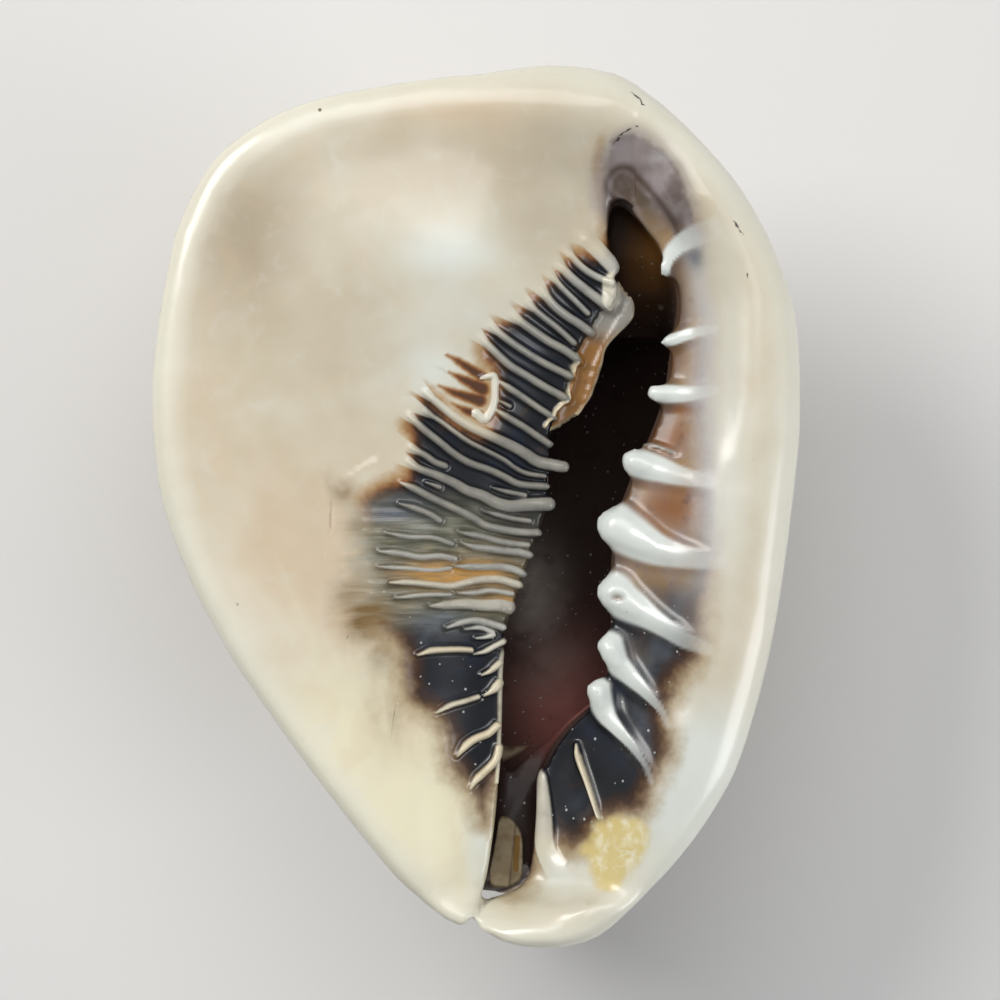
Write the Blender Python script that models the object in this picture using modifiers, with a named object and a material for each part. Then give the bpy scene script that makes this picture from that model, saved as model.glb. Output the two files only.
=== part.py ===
"""Models a large king helmet shell and the slip of old paper stuck in its canal.

The shell lies on its back. Seen from above with +Y up it shows its mouth: +X is the side of
the outer lip, +Y is the end of the spire, and Z = 0 is the surface that the worn tips of its
dorsal knobs rest on. The origin is under the middle of the shell. Lengths are in millimetres
until a mesh is made.
"""

import math

import bmesh
import bpy
import numpy as np

MM = 0.001
TAU = 2 * math.pi

# The coil: an axis along Y, and whorls that grow by a constant factor
APEX_Y = 88.0
AXIS_X = -4.0
AXIS_Z = 50.0
AXIS_LEVEL_Y = 15.0
AXIS_TILT = math.tan(math.radians(3))
WHORL_GROWTH = 1.8
WHORLS_SHOWN = 5
LIP_DIRECTION = math.radians(45)
# Distance below the apex and radius of the newest whorl, at the lip
WHORL_PROFILE = ((33, 0), (35, 30), (38, 44), (44, 54), (51, 60), (58, 62), (75, 62), (95, 60),
                 (118, 54.5), (135, 45), (150, 32), (163, 19), (173, 9), (178, 2))
# Rows of knobs: distance below the apex, first turn angle, knobs in a turn, knobs, base, height
KNOB_ROWS = ((56, 30, 9, 22, 15, 7.2), (88, 8, 11, 9, 11, 3.2), (118, 15.5, 11, 8, 12.5, 10.5))

# The hollow of the body whorl
WALL = 6.0
COLUMELLA_RADIUS = 7.0
INNER_WALL = 3.0
HOLLOW_START = math.radians(-24)
HOLLOW_END = math.radians(250)
HOLLOW_SECTIONS = 26
# Distances below the apex between which the newest whorl is hollow
HOLLOW_REACH = (52.0, 146.0)
# The hollow stays below this height, so that the shield keeps a wall beside the mouth
HOLLOW_CEILING = 95.5

# The edge of the shield and the lip, seen from above, clockwise from the top
RIM = ((14, 100), (21, 100), (28, 99), (35, 96.5), (48.5, 85.5), (62, 69), (71.5, 47), (73.4, 24),
       (72, 4), (67.5, -28), (60.5, -55), (54, -68.5), (44, -82), (29.5, -96), (21, -99.5),
       (15.5, -100), (7.5, -99), (1, -96), (-6, -94.2), (-13, -89), (-20, -82), (-41, -55),
       (-59, -28), (-70.5, -1), (-73.4, 26), (-70, 53.5), (-66, 67), (-57.5, 80.5), (-40, 91),
       (-13, 96.5), (1, 98))
RIM_OUTSET = 0.4
RIM_MIDLINE_X = 4.0
RIM_MIDLINE_Y = (-60.0, 45.0)
RIM_REACH = 0.94
SHIELD_TOP = 100.0
# Rim of the shield and of the lip: half thickness, width of the rounding, height of its middle
SHIELD_RIM = (4.0, 5.0, 97.5)
LIP_RIM = (9.5, 12.0, 93.5)
RIM_ROOT_SLOPE = 0.16
# The rim thickens from the shield to the lip across a line: X at Y = 0, its lean and its width
LIP_SIDE = (22.0, 0.12, 9.0)
# The callus between the body whorl and the plate round the mouth: its outline at the whorl,
# seen from above, and its size at each height
CALLUS = ((-45, 45), (-44, 20), (-34, -12), (-20, -40), (-8, -66), (2, -80), (22, -70), (42, -36),
          (54, 0), (59, 28), (62, 54), (48, 76), (14, 80), (-30, 70))
CALLUS_MIDDLE = (4.0, 0.0)
CALLUS_SIZES = ((52, 0.80), (66, 0.86), (76, 0.89), (83, 0.93), (88, 0.98), (93, 1.04))

# The mouth: its columellar edge on the left and its lip edge on the right, as X at each Y
COLUMELLAR_EDGE = ((31, 70), (30, 62), (32, 54), (30.5, 48), (26, 40), (22.5, 33), (20.5, 25),
                   (17, 17), (17, 8), (16, 0), (13.5, -8), (10.5, -16), (7.5, -25), (5.8, -34),
                   (5.3, -50), (4.5, -66), (3, -82), (0.5, -89), (-1, -92), (-2.5, -96), (-4, -104))
LIP_EDGE = ((32, 70), (37, 66), (41, 61), (44.5, 54), (46, 46), (44.5, 37), (43, 26), (40, 17),
            (36, 8), (33, 0), (31, -10), (30.7, -25), (30.5, -36), (27.5, -44), (20, -52),
            (15.5, -60), (14, -70), (13, -79), (12, -85), (9, -89), (4, -91.5), (1.5, -94), (3, -104))
# Height of the mouth's floor at each Y: a ledge at the spire's end, the hollow, the canal
MOUTH_FLOOR = ((87, 72), (84, 66), (79, 58), (66, 50), (44, 41), (44, -30), (62, -45), (70, -56),
               (77, -66), (81, -78), (83, -90), (83, -104))
MOUTH_REACH = (69.5, -103.0)
MOUTH_SECTIONS = 90
MOUTH_LEAST_WIDTH = 0.8
# The mouth widens under the lip between these Y values, and its floor is rounded at the walls
MOUTH_UNDERCUT = 7.0
UNDERCUT_REACH = (-50.0, -30.0, 28.0, 42.0)
FLOOR_ROUNDING = 0.2
FACE_EDGE = 92.0
ABOVE_FACE = 125.0
# Slopes down to the mouth: depth at the edge, width
COLUMELLAR_SLOPE = (9.0, 17.0)
LIP_SLOPE = (9.0, 12.0)
CANAL_SLOPE = (15.0, 18.0)
CANAL_START = (-50.0, 4.0)
# The canal's floor rises to the lip from the first of these Y values to the second
CANAL_FLOOR_RISE = 9.0
CANAL_FLOOR_REACH = (-60.0, -45.0)
# The slopes fade out at both ends of the face, and below these heights at its root
FACE_ENDS = (-99.0, -85.0, 68.0, 92.0)
FACE_ROOT = (62.0, 84.0)
# The swelling of the earlier whorl under the shield: X, Y, reach in X and Y, height
SWELLING = (-8.0, 57.0, 24.0, 17.0, 3.5)

# The canal bends back behind the mouth: centre line and radius
CANAL_TUBE = ((5, -46, 70, 20), (6, -62, 76, 18), (6, -74, 77, 15.5), (3, -79, 66, 12.5),
              (-4, -78.5, 53, 10.5), (-11, -73, 41, 8.5))
CANAL_GROOVE = ((2.5, -97, 86, 4.4), (2.5, -93.5, 75, 4.6), (0, -91.5, 64, 4.4), (-6, -89, 51, 4.2),
                (-13, -83, 38, 4.0))

# Ridges of the shield at the mouth: width, height, centre line from outside to the mouth
RIDGES = (
    (3.4, 1.6, ((24, 61.5), (28, 58), (31, 54.5))),
    (1.7, 1.1, ((21, 57.5), (26, 53), (31, 51))),
    (2.0, 1.2, ((19, 54.5), (25, 49), (30, 45.5))),
    (1.5, 1.0, ((17.5, 52), (22, 47), (25.5, 44))),
    (2.0, 1.2, ((15, 48.5), (20.5, 43.5), (25.5, 40))),
    (1.7, 1.0, ((11.5, 46), (18, 41), (22, 37.5))),
    (2.0, 1.2, ((8.5, 42.5), (16, 37.5), (23, 33.5))),
    (1.7, 1.0, ((4, 40.5), (10, 36.5), (20.5, 30))),
    (1.8, 1.0, ((1, 37.5), (7.5, 32), (15.5, 27.5), (20.5, 24.5))),
    (1.6, 0.9, ((4.5, 28.5), (11, 24.5), (17.5, 20.5))),
    (1.7, 1.0, ((4, 22), (11.5, 18), (16.5, 14.5))),
    (1.8, 1.1, ((-11.5, 26), (-5, 20.5), (2, 16.5), (9, 13.5), (16, 9.5), (20, 9))),
    (1.3, 0.8, ((-11.5, 21.5), (-1.5, 14.5), (8.5, 9), (15.5, 7))),
    (1.7, 1.0, ((-15.5, 20.5), (-8, 14.5), (3, 8.5), (15.5, 4.5))),
    (1.5, 0.9, ((-15.5, 10), (-9, 7), (-2, 4), (4, 1), (17.5, 0.2))),
    (1.8, 1.0, ((-17.5, 5.5), (-10.5, 2), (-3.5, -1), (2, -4), (14.5, -6))),
    (1.4, 0.8, ((-3.5, -5.8), (4, -7.5), (11, -8.8))),
    (1.4, 0.8, ((-3, -8.3), (5, -10), (12.8, -11.4))),
    (1.5, 0.9, ((-5, -13.5), (5, -13.8), (11, -15.8))),
    (1.7, 1.0, ((-19.5, -17), (-9, -17.8), (0.5, -16.7), (9.5, -17.8))),
    (1.4, 0.8, ((-4, -19.6), (3, -19.2), (8, -20))),
    (1.7, 0.9, ((-10.5, -22.5), (-2.5, -22), (8.5, -23.5))),
    (1.4, 0.8, ((-6.5, -27.5), (0, -26), (5.5, -27.8))),
    (1.6, 0.9, ((-13, -33.5), (-7, -32.5), (-1, -32.8))),
    (1.4, 0.8, ((-0.5, -33.6), (4, -32), (7, -30.5))),
    (1.4, 0.8, ((1.5, -38.5), (5.5, -35.8))),
    (1.4, 0.8, ((1.7, -43), (5.5, -40.5))),
    (1.5, 0.8, ((-9, -46.8), (-2.5, -44.3), (0.5, -43.4))),
    (1.8, 1.0, ((-4.5, -56.7), (-0.5, -53), (4, -50.5))),
    (1.8, 1.0, ((-1.5, -64.2), (2, -60.5), (5.2, -56))),
)
# Teeth of the outer lip: width and height at the tip, at the root, centre line from the tip
TEETH = (
    (2.4, 2.0, 1.6, 0.8, ((42.7, 53), (45.5, 58.5), (50.5, 61))),
    (2.6, 2.0, 1.5, 0.8, ((42, 37.7), (48.5, 39.3), (54, 40.4))),
    (3.6, 2.6, 2.2, 1.0, ((39.3, 26), (46, 25.7), (53.5, 26.3))),
    (6.5, 3.4, 2.2, 1.0, ((34.5, 9.8), (40, 8.8), (46, 7), (53, 5.5))),
    (7.5, 3.8, 2.0, 1.0, ((30, -4.5), (36, -7.5), (43, -10.8), (54.5, -12.6))),
    (6.5, 3.6, 2.2, 1.0, ((29.5, -19.5), (35, -23), (43, -27.5), (51.5, -32))),
    (4.5, 3.0, 1.5, 0.8, ((29, -32), (34, -37), (39, -42), (43, -46.5))),
    (3.8, 2.6, 1.5, 0.8, ((26.8, -42), (30, -47), (36, -53.5), (39.5, -58.5))),
    (1.6, 1.2, 1.0, 0.6, ((22.8, -54.5), (24, -59), (28, -71))),
    (1.8, 1.2, 2.4, 0.8, ((14.5, -59), (15.5, -67), (15.5, -77.5))),
)
RIDGE_SIDES = 5
RIDGE_SUNK = 0.9

# Evenness of the mesh and the share of its faces that is kept
VOXEL = 1.5
FACES_KEPT = 6300
# The plane that the knobs of the back are worn down to: side and depth of what is cut off
WORN_SIDE = 300.0
WORN_DEPTH = 40.0

# The paper slip: outline seen from above, thickness, height of its middle, rise to +X and +Y
LABEL_OUTLINE = ((5.6, -72.3), (6.6, -71.9), (8.8, -73.2), (10.4, -76.6), (10.6, -82.5),
                 (10.2, -86), (8.4, -87.6), (6.2, -88.4), (4.6, -86.5), (5.0, -80))
LABEL_THICKNESS = 0.4
LABEL_MIDDLE = (7.4, -80.5, 74.8)
LABEL_SLOPE = (0.15, 0.0)

CREAM = (0.80, 0.69, 0.53)
PAPER = (0.42, 0.32, 0.19)


def remove_everything():
    """Starts from an empty scene."""
    for thing in list(bpy.data.objects):
        bpy.data.objects.remove(thing, do_unlink=True)


def new_collection(name):
    """Makes a collection in the scene."""
    collection = bpy.data.collections.new(name)
    bpy.context.scene.collection.children.link(collection)
    return collection


def principled(name, colour, roughness):
    """Makes a Principled material with one colour."""
    material = bpy.data.materials.new(name)
    material.use_nodes = True
    shader = material.node_tree.nodes["Principled BSDF"]
    shader.inputs["Base Color"].default_value = (*colour, 1)
    shader.inputs["Roughness"].default_value = roughness
    shader.inputs["Metallic"].default_value = 0.0
    return material


def smooth_line(points, steps, closed=False):
    """Points along a Catmull-Rom curve through the given points."""
    given = np.asarray(points, dtype=float)
    if closed:
        padded = np.vstack((given[-1:], given, given[:2]))
    else:
        padded = np.vstack((2 * given[:1] - given[1:2], given, 2 * given[-1:] - given[-2:-1]))
    along = np.linspace(0, 1, steps, endpoint=False)[:, None]
    pieces = []
    for a, b, c, d in zip(padded[:-3], padded[1:-2], padded[2:-1], padded[3:]):
        pieces.append(0.5 * (2 * b + (c - a) * along + (2 * a - 5 * b + 4 * c - d) * along ** 2
                             + (3 * b - a - 3 * c + d) * along ** 3))
    if not closed:
        pieces.append(given[-1:])
    return np.vstack(pieces)


def across_at(edge, y):
    """X of a mouth edge at each Y."""
    line = smooth_line(edge, 6)
    order = np.argsort(line[:, 1])
    return np.interp(y, line[order, 1], line[order, 0])


def floor_at(y):
    """Height of the mouth's floor at each Y."""
    heights = np.array(MOUTH_FLOOR, dtype=float)[::-1]
    return np.interp(y, heights[:, 1], heights[:, 0])


def make_object(name, points, faces, collection):
    """Makes a mesh object from points in millimetres, its faces turned outwards."""
    mesh = bpy.data.meshes.new(name)
    mesh.from_pydata((np.asarray(points) * MM).tolist(), [], faces)
    sheet = bmesh.new()
    sheet.from_mesh(mesh)
    bmesh.ops.recalc_face_normals(sheet, faces=sheet.faces)
    sheet.to_mesh(mesh)
    sheet.free()
    thing = bpy.data.objects.new(name, mesh)
    collection.objects.link(thing)
    return thing


def loft(name, sections, collection):
    """Skins closed sections with equal numbers of points and caps both ends."""
    rows = np.asarray(sections, dtype=float)
    count, size = rows.shape[:2]
    faces = []
    for row in range(count - 1):
        for corner in range(size):
            after = (corner + 1) % size
            faces.append((row * size + corner, row * size + after,
                          (row + 1) * size + after, (row + 1) * size + corner))
    faces.append(tuple(range(size)))
    faces.append(tuple((count - 1) * size + corner for corner in range(size)))
    return make_object(name, rows.reshape(-1, 3), faces, collection)


def tube(name, stations, collection, sides=20, steps=5):
    """A round tube along a smooth line; each station is X, Y, Z and radius."""
    line = smooth_line(stations, steps)
    centres = line[:, :3]
    directions = np.gradient(centres, axis=0)
    directions /= np.linalg.norm(directions, axis=1)[:, None]
    rings = []
    for centre, direction, radius in zip(centres, directions, line[:, 3]):
        side = np.cross(direction, (1.0, 0.0, 0.0))
        side /= np.linalg.norm(side)
        other = np.cross(direction, side)
        angles = np.arange(sides) * TAU / sides
        rings.append(centre + radius * (np.outer(np.cos(angles), side)
                                        + np.outer(np.sin(angles), other)))
    return loft(name, rings, collection)


def plain_radius(turn, y, older):
    """Radius of the whorls that are at least a number of turns old."""
    profile = smooth_line(WHORL_PROFILE, 6)
    radius = np.zeros(np.broadcast(turn, y).shape)
    for age in range(older, WHORLS_SHOWN):
        scale = WHORL_GROWTH ** -(turn / TAU + age)
        reach = scale * np.interp((APEX_Y - y) / scale, profile[:, 0], profile[:, 1], 0, 0)
        radius = np.maximum(radius, reach)
    return radius


def knob_rise(turn, y):
    """How far the knobs stand out from the whorl."""
    rise = np.zeros(np.broadcast(turn, y).shape)
    for below_apex, first, in_a_turn, knobs, base, height in KNOB_ROWS:
        for index in range(knobs):
            angle = math.radians(first) + index * TAU / in_a_turn
            scale = WHORL_GROWTH ** (-angle / TAU)
            row_radius = scale * np.interp(below_apex, *np.array(WHORL_PROFILE, dtype=float).T)
            around = (turn - angle + math.pi) % TAU - math.pi
            along = y - (APEX_Y - scale * below_apex)
            distance = np.hypot(around * row_radius, along) / (base * scale)
            dome = 0.5 + 0.5 * np.cos(math.pi * np.minimum(distance, 1))
            rise = np.maximum(rise, height * scale * dome ** 0.8)
    return rise


def coil_point(turn, y, radius):
    """The place of a point of the coil, given its turn back from the lip, its Y and radius."""
    direction = LIP_DIRECTION - turn
    axis_z = AXIS_Z + (y - AXIS_LEVEL_Y) * AXIS_TILT
    return np.stack(np.broadcast_arrays(AXIS_X + radius * np.cos(direction), y,
                                        axis_z + radius * np.sin(direction)), axis=-1)


def whorls(collection):
    """The body whorl, the spire and their knobs, as one solid ending at the lip."""
    turns = np.linspace(0, TAU, 145)
    levels = np.linspace(APEX_Y - 0.2, APEX_Y - WHORL_PROFILE[-1][0] - 0.5, 110)
    sections = []
    for y in levels:
        radius = plain_radius(turns, y, 0) + knob_rise(turns, y) * (plain_radius(turns, y, 0) > 3)
        sections.append(coil_point(turns, y, np.maximum(radius, 0.3)))
    return loft("whorls", sections, collection)


def rim_section(lipness):
    """Inward distance and height across the rim, from under its root over its edge to the top."""
    half, width, middle = (np.array(SHIELD_RIM) * (1 - lipness) + np.array(LIP_RIM) * lipness)
    section = [(width + reach, middle - half - RIM_ROOT_SLOPE * reach)
               for reach in (42, 30, 20, 12, 6, 2)]
    for angle in np.linspace(-90, 90, 9):
        turn = math.radians(angle)
        section.append((width * (1 - math.cos(turn)), middle + half * math.sin(turn)))
    crest = middle + half
    for reach in (3, 8, 15, 26, 42):
        settled = 1 - math.exp(-(reach / 9) ** 2)
        section.append((width + reach, crest + (SHIELD_TOP - crest) * settled))
    return section


def shield_and_lip(collection):
    """The plate round the mouth: the thin shield on the left, the thick lip on the right."""
    outline = smooth_line(RIM, 5, closed=True)
    middle = np.stack((np.full(len(outline), RIM_MIDLINE_X),
                       np.clip(outline[:, 1], *RIM_MIDLINE_Y)), axis=1)
    inward = middle - outline
    room = np.linalg.norm(inward, axis=1)
    inward /= room[:, None]
    outline = outline - inward * RIM_OUTSET
    side, lean, width = LIP_SIDE
    lipness = 1 / (1 + np.exp(-(outline[:, 0] - side + lean * outline[:, 1]) / width))
    sections = np.array([rim_section(value) for value in lipness])
    rings = []
    for step in range(sections.shape[1]):
        distance = np.minimum(sections[:, step, 0], RIM_REACH * room)
        place = outline + inward * distance[:, None]
        rings.append(np.column_stack((place, sections[:, step, 1])))
    return loft("shield_and_lip", rings, collection)


def callus(collection):
    """The thick callus that joins the body whorl to the plate round the mouth."""
    outline = smooth_line(CALLUS, 5, closed=True)
    rings = []
    for height, size in CALLUS_SIZES:
        ring = np.array(CALLUS_MIDDLE) + (outline - CALLUS_MIDDLE) * size
        rings.append(np.column_stack((ring, np.full(len(ring), height))))
    return loft("callus", rings, collection)


def hollow_cutter(collection):
    """The space inside the body whorl, between its outer wall and the earlier whorls."""
    heights = np.linspace(APEX_Y, APEX_Y - 190, 400)
    sections = []
    for turn in np.linspace(HOLLOW_START, HOLLOW_END, HOLLOW_SECTIONS):
        scale = WHORL_GROWTH ** (-turn / TAU)
        outer = plain_radius(turn, heights, 0) - WALL * scale
        earlier = plain_radius(turn, heights, 1) + INNER_WALL
        inner = np.maximum(earlier, COLUMELLA_RADIUS)
        below_apex = (APEX_Y - heights) / scale
        reached = (below_apex > HOLLOW_REACH[0]) & (below_apex < HOLLOW_REACH[1])
        clear = np.flatnonzero((outer - inner > 0.6) & reached)
        levels = np.linspace(heights[clear[0]], heights[clear[-1]], 22)
        down = coil_point(turn, levels, np.interp(-levels, -heights, outer))
        up = coil_point(turn, levels, np.interp(-levels, -heights, inner))[::-1]
        section = np.vstack((down, up))
        section[:, 2] = np.minimum(section[:, 2], HOLLOW_CEILING)
        sections.append(section)
    return loft("hollow_cutter", sections, collection)


def mouth_cutter(collection):
    """The opening between the columellar edge and the lip, down to the hollow or the canal."""
    sections = []
    for y in np.linspace(*MOUTH_REACH, MOUTH_SECTIONS):
        left = across_at(COLUMELLAR_EDGE, y)
        right = max(across_at(LIP_EDGE, y), left + MOUTH_LEAST_WIDTH)
        floor = floor_at(y)
        wall = FACE_EDGE - floor
        undercut = MOUTH_UNDERCUT * np.interp(y, UNDERCUT_REACH, (0, 1, 1, 0))
        inset = FLOOR_ROUNDING * min(wall / 4, right - left)
        rise = CANAL_FLOOR_RISE * np.interp(y, CANAL_FLOOR_REACH, (1, 0))
        sections.append(((left, y, ABOVE_FACE), (left, y, FACE_EDGE), (left, y, floor + wall / 4),
                         (left + inset, y, floor),
                         (right + undercut - inset, y, floor + min(rise, wall - 2)),
                         (right + undercut, y, floor + min(max(wall / 2, rise + 1), wall - 1)),
                         (right, y, FACE_EDGE), (right, y, ABOVE_FACE)))
    return loft("mouth_cutter", sections, collection)


def dish(x, y):
    """How far the face with the mouth lies below the shield's flat height."""
    left = across_at(COLUMELLAR_EDGE, y)
    right = across_at(LIP_EDGE, y)
    canal = 1 / (1 + np.exp((y - CANAL_START[0]) / CANAL_START[1]))
    lip_depth = LIP_SLOPE[0] * (1 - canal) + CANAL_SLOPE[0] * canal
    lip_width = LIP_SLOPE[1] * (1 - canal) + CANAL_SLOPE[1] * canal
    ends = np.interp(y, FACE_ENDS, (0, 1, 1, 0))
    fade = ends * ends * (3 - 2 * ends)
    from_left = np.maximum(left - x, 0) / COLUMELLAR_SLOPE[1]
    from_right = np.maximum(x - right, 0) / lip_width
    on_left = COLUMELLAR_SLOPE[0] * np.exp(-from_left ** 2)
    on_right = lip_depth * np.exp(-from_right ** 2)
    share = np.clip((x - left) / np.maximum(right - left, 0.5), 0, 1)
    down = fade * (on_left * (1 - share) + on_right * share)
    reach = ((x - SWELLING[0]) / SWELLING[2]) ** 2 + ((y - SWELLING[1]) / SWELLING[3]) ** 2
    return down - SWELLING[4] * np.exp(-reach)


def face_height(x, y):
    """Height of the face with the mouth, away from the rim."""
    return SHIELD_TOP - dish(x, y)


def join(things, name):
    """Joins closed meshes that overlap into one object."""
    sheet = bmesh.new()
    for thing in things:
        sheet.from_mesh(thing.data)
        bpy.data.objects.remove(thing, do_unlink=True)
    mesh = bpy.data.meshes.new(name)
    sheet.to_mesh(mesh)
    sheet.free()
    joined = bpy.data.objects.new(name, mesh)
    return joined


def apply_modifiers(thing):
    """Replaces an object's mesh with what its modifiers make of it."""
    bpy.context.view_layer.update()
    evaluated = thing.evaluated_get(bpy.context.evaluated_depsgraph_get())
    mesh = bpy.data.meshes.new_from_object(evaluated)
    thing.modifiers.clear()
    thing.data = mesh


def even_out(thing, passes):
    """Remeshes overlapping forms as one even skin and softens it."""
    remesh = thing.modifiers.new("Even skin", "REMESH")
    remesh.mode = "VOXEL"
    remesh.voxel_size = VOXEL * MM
    soften = thing.modifiers.new("Soften", "SMOOTH")
    soften.factor = 0.5
    soften.iterations = passes
    apply_modifiers(thing)


def cut(thing, cutter):
    """Cuts a closed mesh out of another."""
    boolean = thing.modifiers.new("Cut", "BOOLEAN")
    boolean.operation = "DIFFERENCE"
    boolean.object = cutter
    apply_modifiers(thing)


def mark_as_cutter(thing):
    """Shows a cutter as wire and keeps it out of renders."""
    thing.hide_render = True
    thing.display_type = "WIRE"


def dish_the_face(thing):
    """Lowers the face with the mouth towards the mouth's edges."""
    mesh = thing.data
    count = len(mesh.vertices)
    places = np.empty(count * 3)
    mesh.vertices.foreach_get("co", places)
    places = places.reshape(-1, 3) / MM
    share = np.interp(places[:, 2], FACE_ROOT, (0, 1))
    places[:, 2] -= share * dish(places[:, 0], places[:, 1])
    mesh.vertices.foreach_set("co", (places * MM).ravel())
    mesh.update()


def ridge(name, line, widths, heights, collection, steps=2):
    """A tapering ridge along a line on the face, its lower side sunk into the shell."""
    path = smooth_line(line, steps)
    along = np.linspace(0, 1, len(path))
    width = np.interp(along, (0, 1), widths)
    height = np.interp(along, (0, 1), heights)
    taper = np.clip(np.minimum(along, 1 - along) * 7 + 0.35, 0, 1)
    forward = np.gradient(path, axis=0)
    forward /= np.linalg.norm(forward, axis=1)[:, None]
    across = np.stack((-forward[:, 1], forward[:, 0]), axis=1)
    base = face_height(path[:, 0], path[:, 1])
    angles = (np.arange(RIDGE_SIDES) + 0.5) * TAU / RIDGE_SIDES
    rings = []
    for step in range(len(path)):
        side = np.cos(angles) * width[step] / 2 * taper[step] / math.cos(math.pi / RIDGE_SIDES)
        rise = np.sin(angles) * (height[step] + RIDGE_SUNK) * taper[step]
        rings.append(np.column_stack((path[step] + side[:, None] * across[step],
                                      base[step] + rise)))
    return loft(name, rings, collection)


def add(thing, other):
    """Unites an object with another closed mesh."""
    boolean = thing.modifiers.new("Join", "BOOLEAN")
    boolean.operation = "UNION"
    boolean.object = other
    apply_modifiers(thing)
    bpy.data.objects.remove(other, do_unlink=True)


def build_shell(parts, cutters):
    """The whole shell as one closed solid."""
    forms = (whorls(cutters), callus(cutters), shield_and_lip(cutters),
             tube("canal", CANAL_TUBE, cutters))
    shell = join(forms, "shell")
    parts.objects.link(shell)
    even_out(shell, 2)
    for cutter in (hollow_cutter(cutters), mouth_cutter(cutters),
                   tube("canal_cutter", CANAL_GROOVE, cutters, 12, 4)):
        mark_as_cutter(cutter)
        cut(shell, cutter)
    even_out(shell, 4)
    dish_the_face(shell)
    thin = shell.modifiers.new("Fewer faces", "DECIMATE")
    thin.ratio = FACES_KEPT / (2 * len(shell.data.polygons))
    apply_modifiers(shell)
    for index, (width, height, line) in enumerate(RIDGES):
        add(shell, ridge(f"ridge_{index}", line, (width * 0.8, width), (height * 0.6, height),
                         cutters))
    for index, (tip_width, tip_height, root_width, root_height, line) in enumerate(TEETH):
        add(shell, ridge(f"tooth_{index}", line, (tip_width, root_width),
                         (tip_height, root_height), cutters))
    half = WORN_SIDE / 2
    corners = ((-half, -half), (half, -half), (half, half), (-half, half))
    worn_away = loft("worn_away", [[(x, y, height) for x, y in corners]
                                   for height in (-WORN_DEPTH, 0)], cutters)
    mark_as_cutter(worn_away)
    cut(shell, worn_away)
    return shell


def build_label(parts):
    """The paper slip, a thin sheet lying in the canal."""
    outline = np.array(LABEL_OUTLINE, dtype=float)
    height = (LABEL_MIDDLE[2] + (outline[:, 0] - LABEL_MIDDLE[0]) * LABEL_SLOPE[0]
              + (outline[:, 1] - LABEL_MIDDLE[1]) * LABEL_SLOPE[1])
    lower = np.column_stack((outline, height))
    upper = lower + np.array((0, 0, LABEL_THICKNESS))
    return loft("paper_label", (lower, upper), parts)


def main():
    """Builds both pieces."""
    remove_everything()
    parts = new_collection("helmet_shell")
    cutters = new_collection("cutters")
    shell = build_shell(parts, cutters)
    shell.data.materials.clear()
    shell.data.materials.append(principled("Shell", CREAM, 0.3))
    shell.data.shade_smooth()
    shell.data.set_sharp_from_angle(angle=math.radians(50))
    label = build_label(parts)
    label.data.materials.append(principled("Old paper", PAPER, 0.8))


main()
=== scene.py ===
"""Looks of a large king helmet shell that lies on its back, with a slip of old paper in its canal.

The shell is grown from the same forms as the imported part, only finer: whorls wound on a slanting
axis, a plate of callus round the mouth and the hollow behind it. Teeth, ridges, a ledge and worn
places are added to these. Lengths are in millimetres until a mesh is made.
"""

import logging
import math
from collections.abc import Callable
from dataclasses import dataclass
from enum import Enum

import bmesh
import bpy
import numpy as np
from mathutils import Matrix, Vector


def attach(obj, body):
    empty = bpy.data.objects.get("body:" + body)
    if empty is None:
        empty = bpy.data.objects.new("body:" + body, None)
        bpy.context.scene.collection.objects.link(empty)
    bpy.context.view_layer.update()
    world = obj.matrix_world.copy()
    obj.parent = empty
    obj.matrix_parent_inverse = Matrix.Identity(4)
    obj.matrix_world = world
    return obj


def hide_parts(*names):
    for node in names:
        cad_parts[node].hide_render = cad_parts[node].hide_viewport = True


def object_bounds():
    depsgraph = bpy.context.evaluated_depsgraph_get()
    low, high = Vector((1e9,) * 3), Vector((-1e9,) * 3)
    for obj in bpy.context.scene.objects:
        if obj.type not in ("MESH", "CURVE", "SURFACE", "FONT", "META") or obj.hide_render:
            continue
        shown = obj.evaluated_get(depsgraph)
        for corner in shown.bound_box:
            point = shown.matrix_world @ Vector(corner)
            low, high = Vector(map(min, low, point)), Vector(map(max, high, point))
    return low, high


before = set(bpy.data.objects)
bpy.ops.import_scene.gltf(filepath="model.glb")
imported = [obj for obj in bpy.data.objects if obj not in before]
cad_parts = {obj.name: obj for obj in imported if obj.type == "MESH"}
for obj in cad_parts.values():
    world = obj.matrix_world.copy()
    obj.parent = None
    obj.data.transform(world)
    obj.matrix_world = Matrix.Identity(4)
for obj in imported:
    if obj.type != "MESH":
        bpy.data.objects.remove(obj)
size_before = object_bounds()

MM = 0.001
TAU = 2 * math.pi
SEED = 7

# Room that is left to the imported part's box
EDGE_ROOM = 0.02

Points = tuple[tuple[float, ...], ...]
Profile = tuple[np.ndarray, np.ndarray, np.ndarray]
Colour = tuple[float, float, float]

log = logging.getLogger("helmet_shell")


def smooth_line(points: Points, steps: int, closed: bool = False) -> np.ndarray:
    """Points along a Catmull-Rom curve through the given points."""
    given = np.asarray(points, dtype=float)
    if closed:
        padded = np.vstack((given[-1:], given, given[:2]))
    else:
        padded = np.vstack((2 * given[:1] - given[1:2], given, 2 * given[-1:] - given[-2:-1]))
    along = np.linspace(0, 1, steps, endpoint=False)[:, None]
    pieces = []
    for a, b, c, d in zip(padded[:-3], padded[1:-2], padded[2:-1], padded[3:]):
        pieces.append(0.5 * (2 * b + (c - a) * along + (2 * a - 5 * b + 4 * c - d) * along ** 2
                             + (3 * b - a - 3 * c + d) * along ** 3))
    if not closed:
        pieces.append(given[-1:])
    return np.vstack(pieces)


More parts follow.
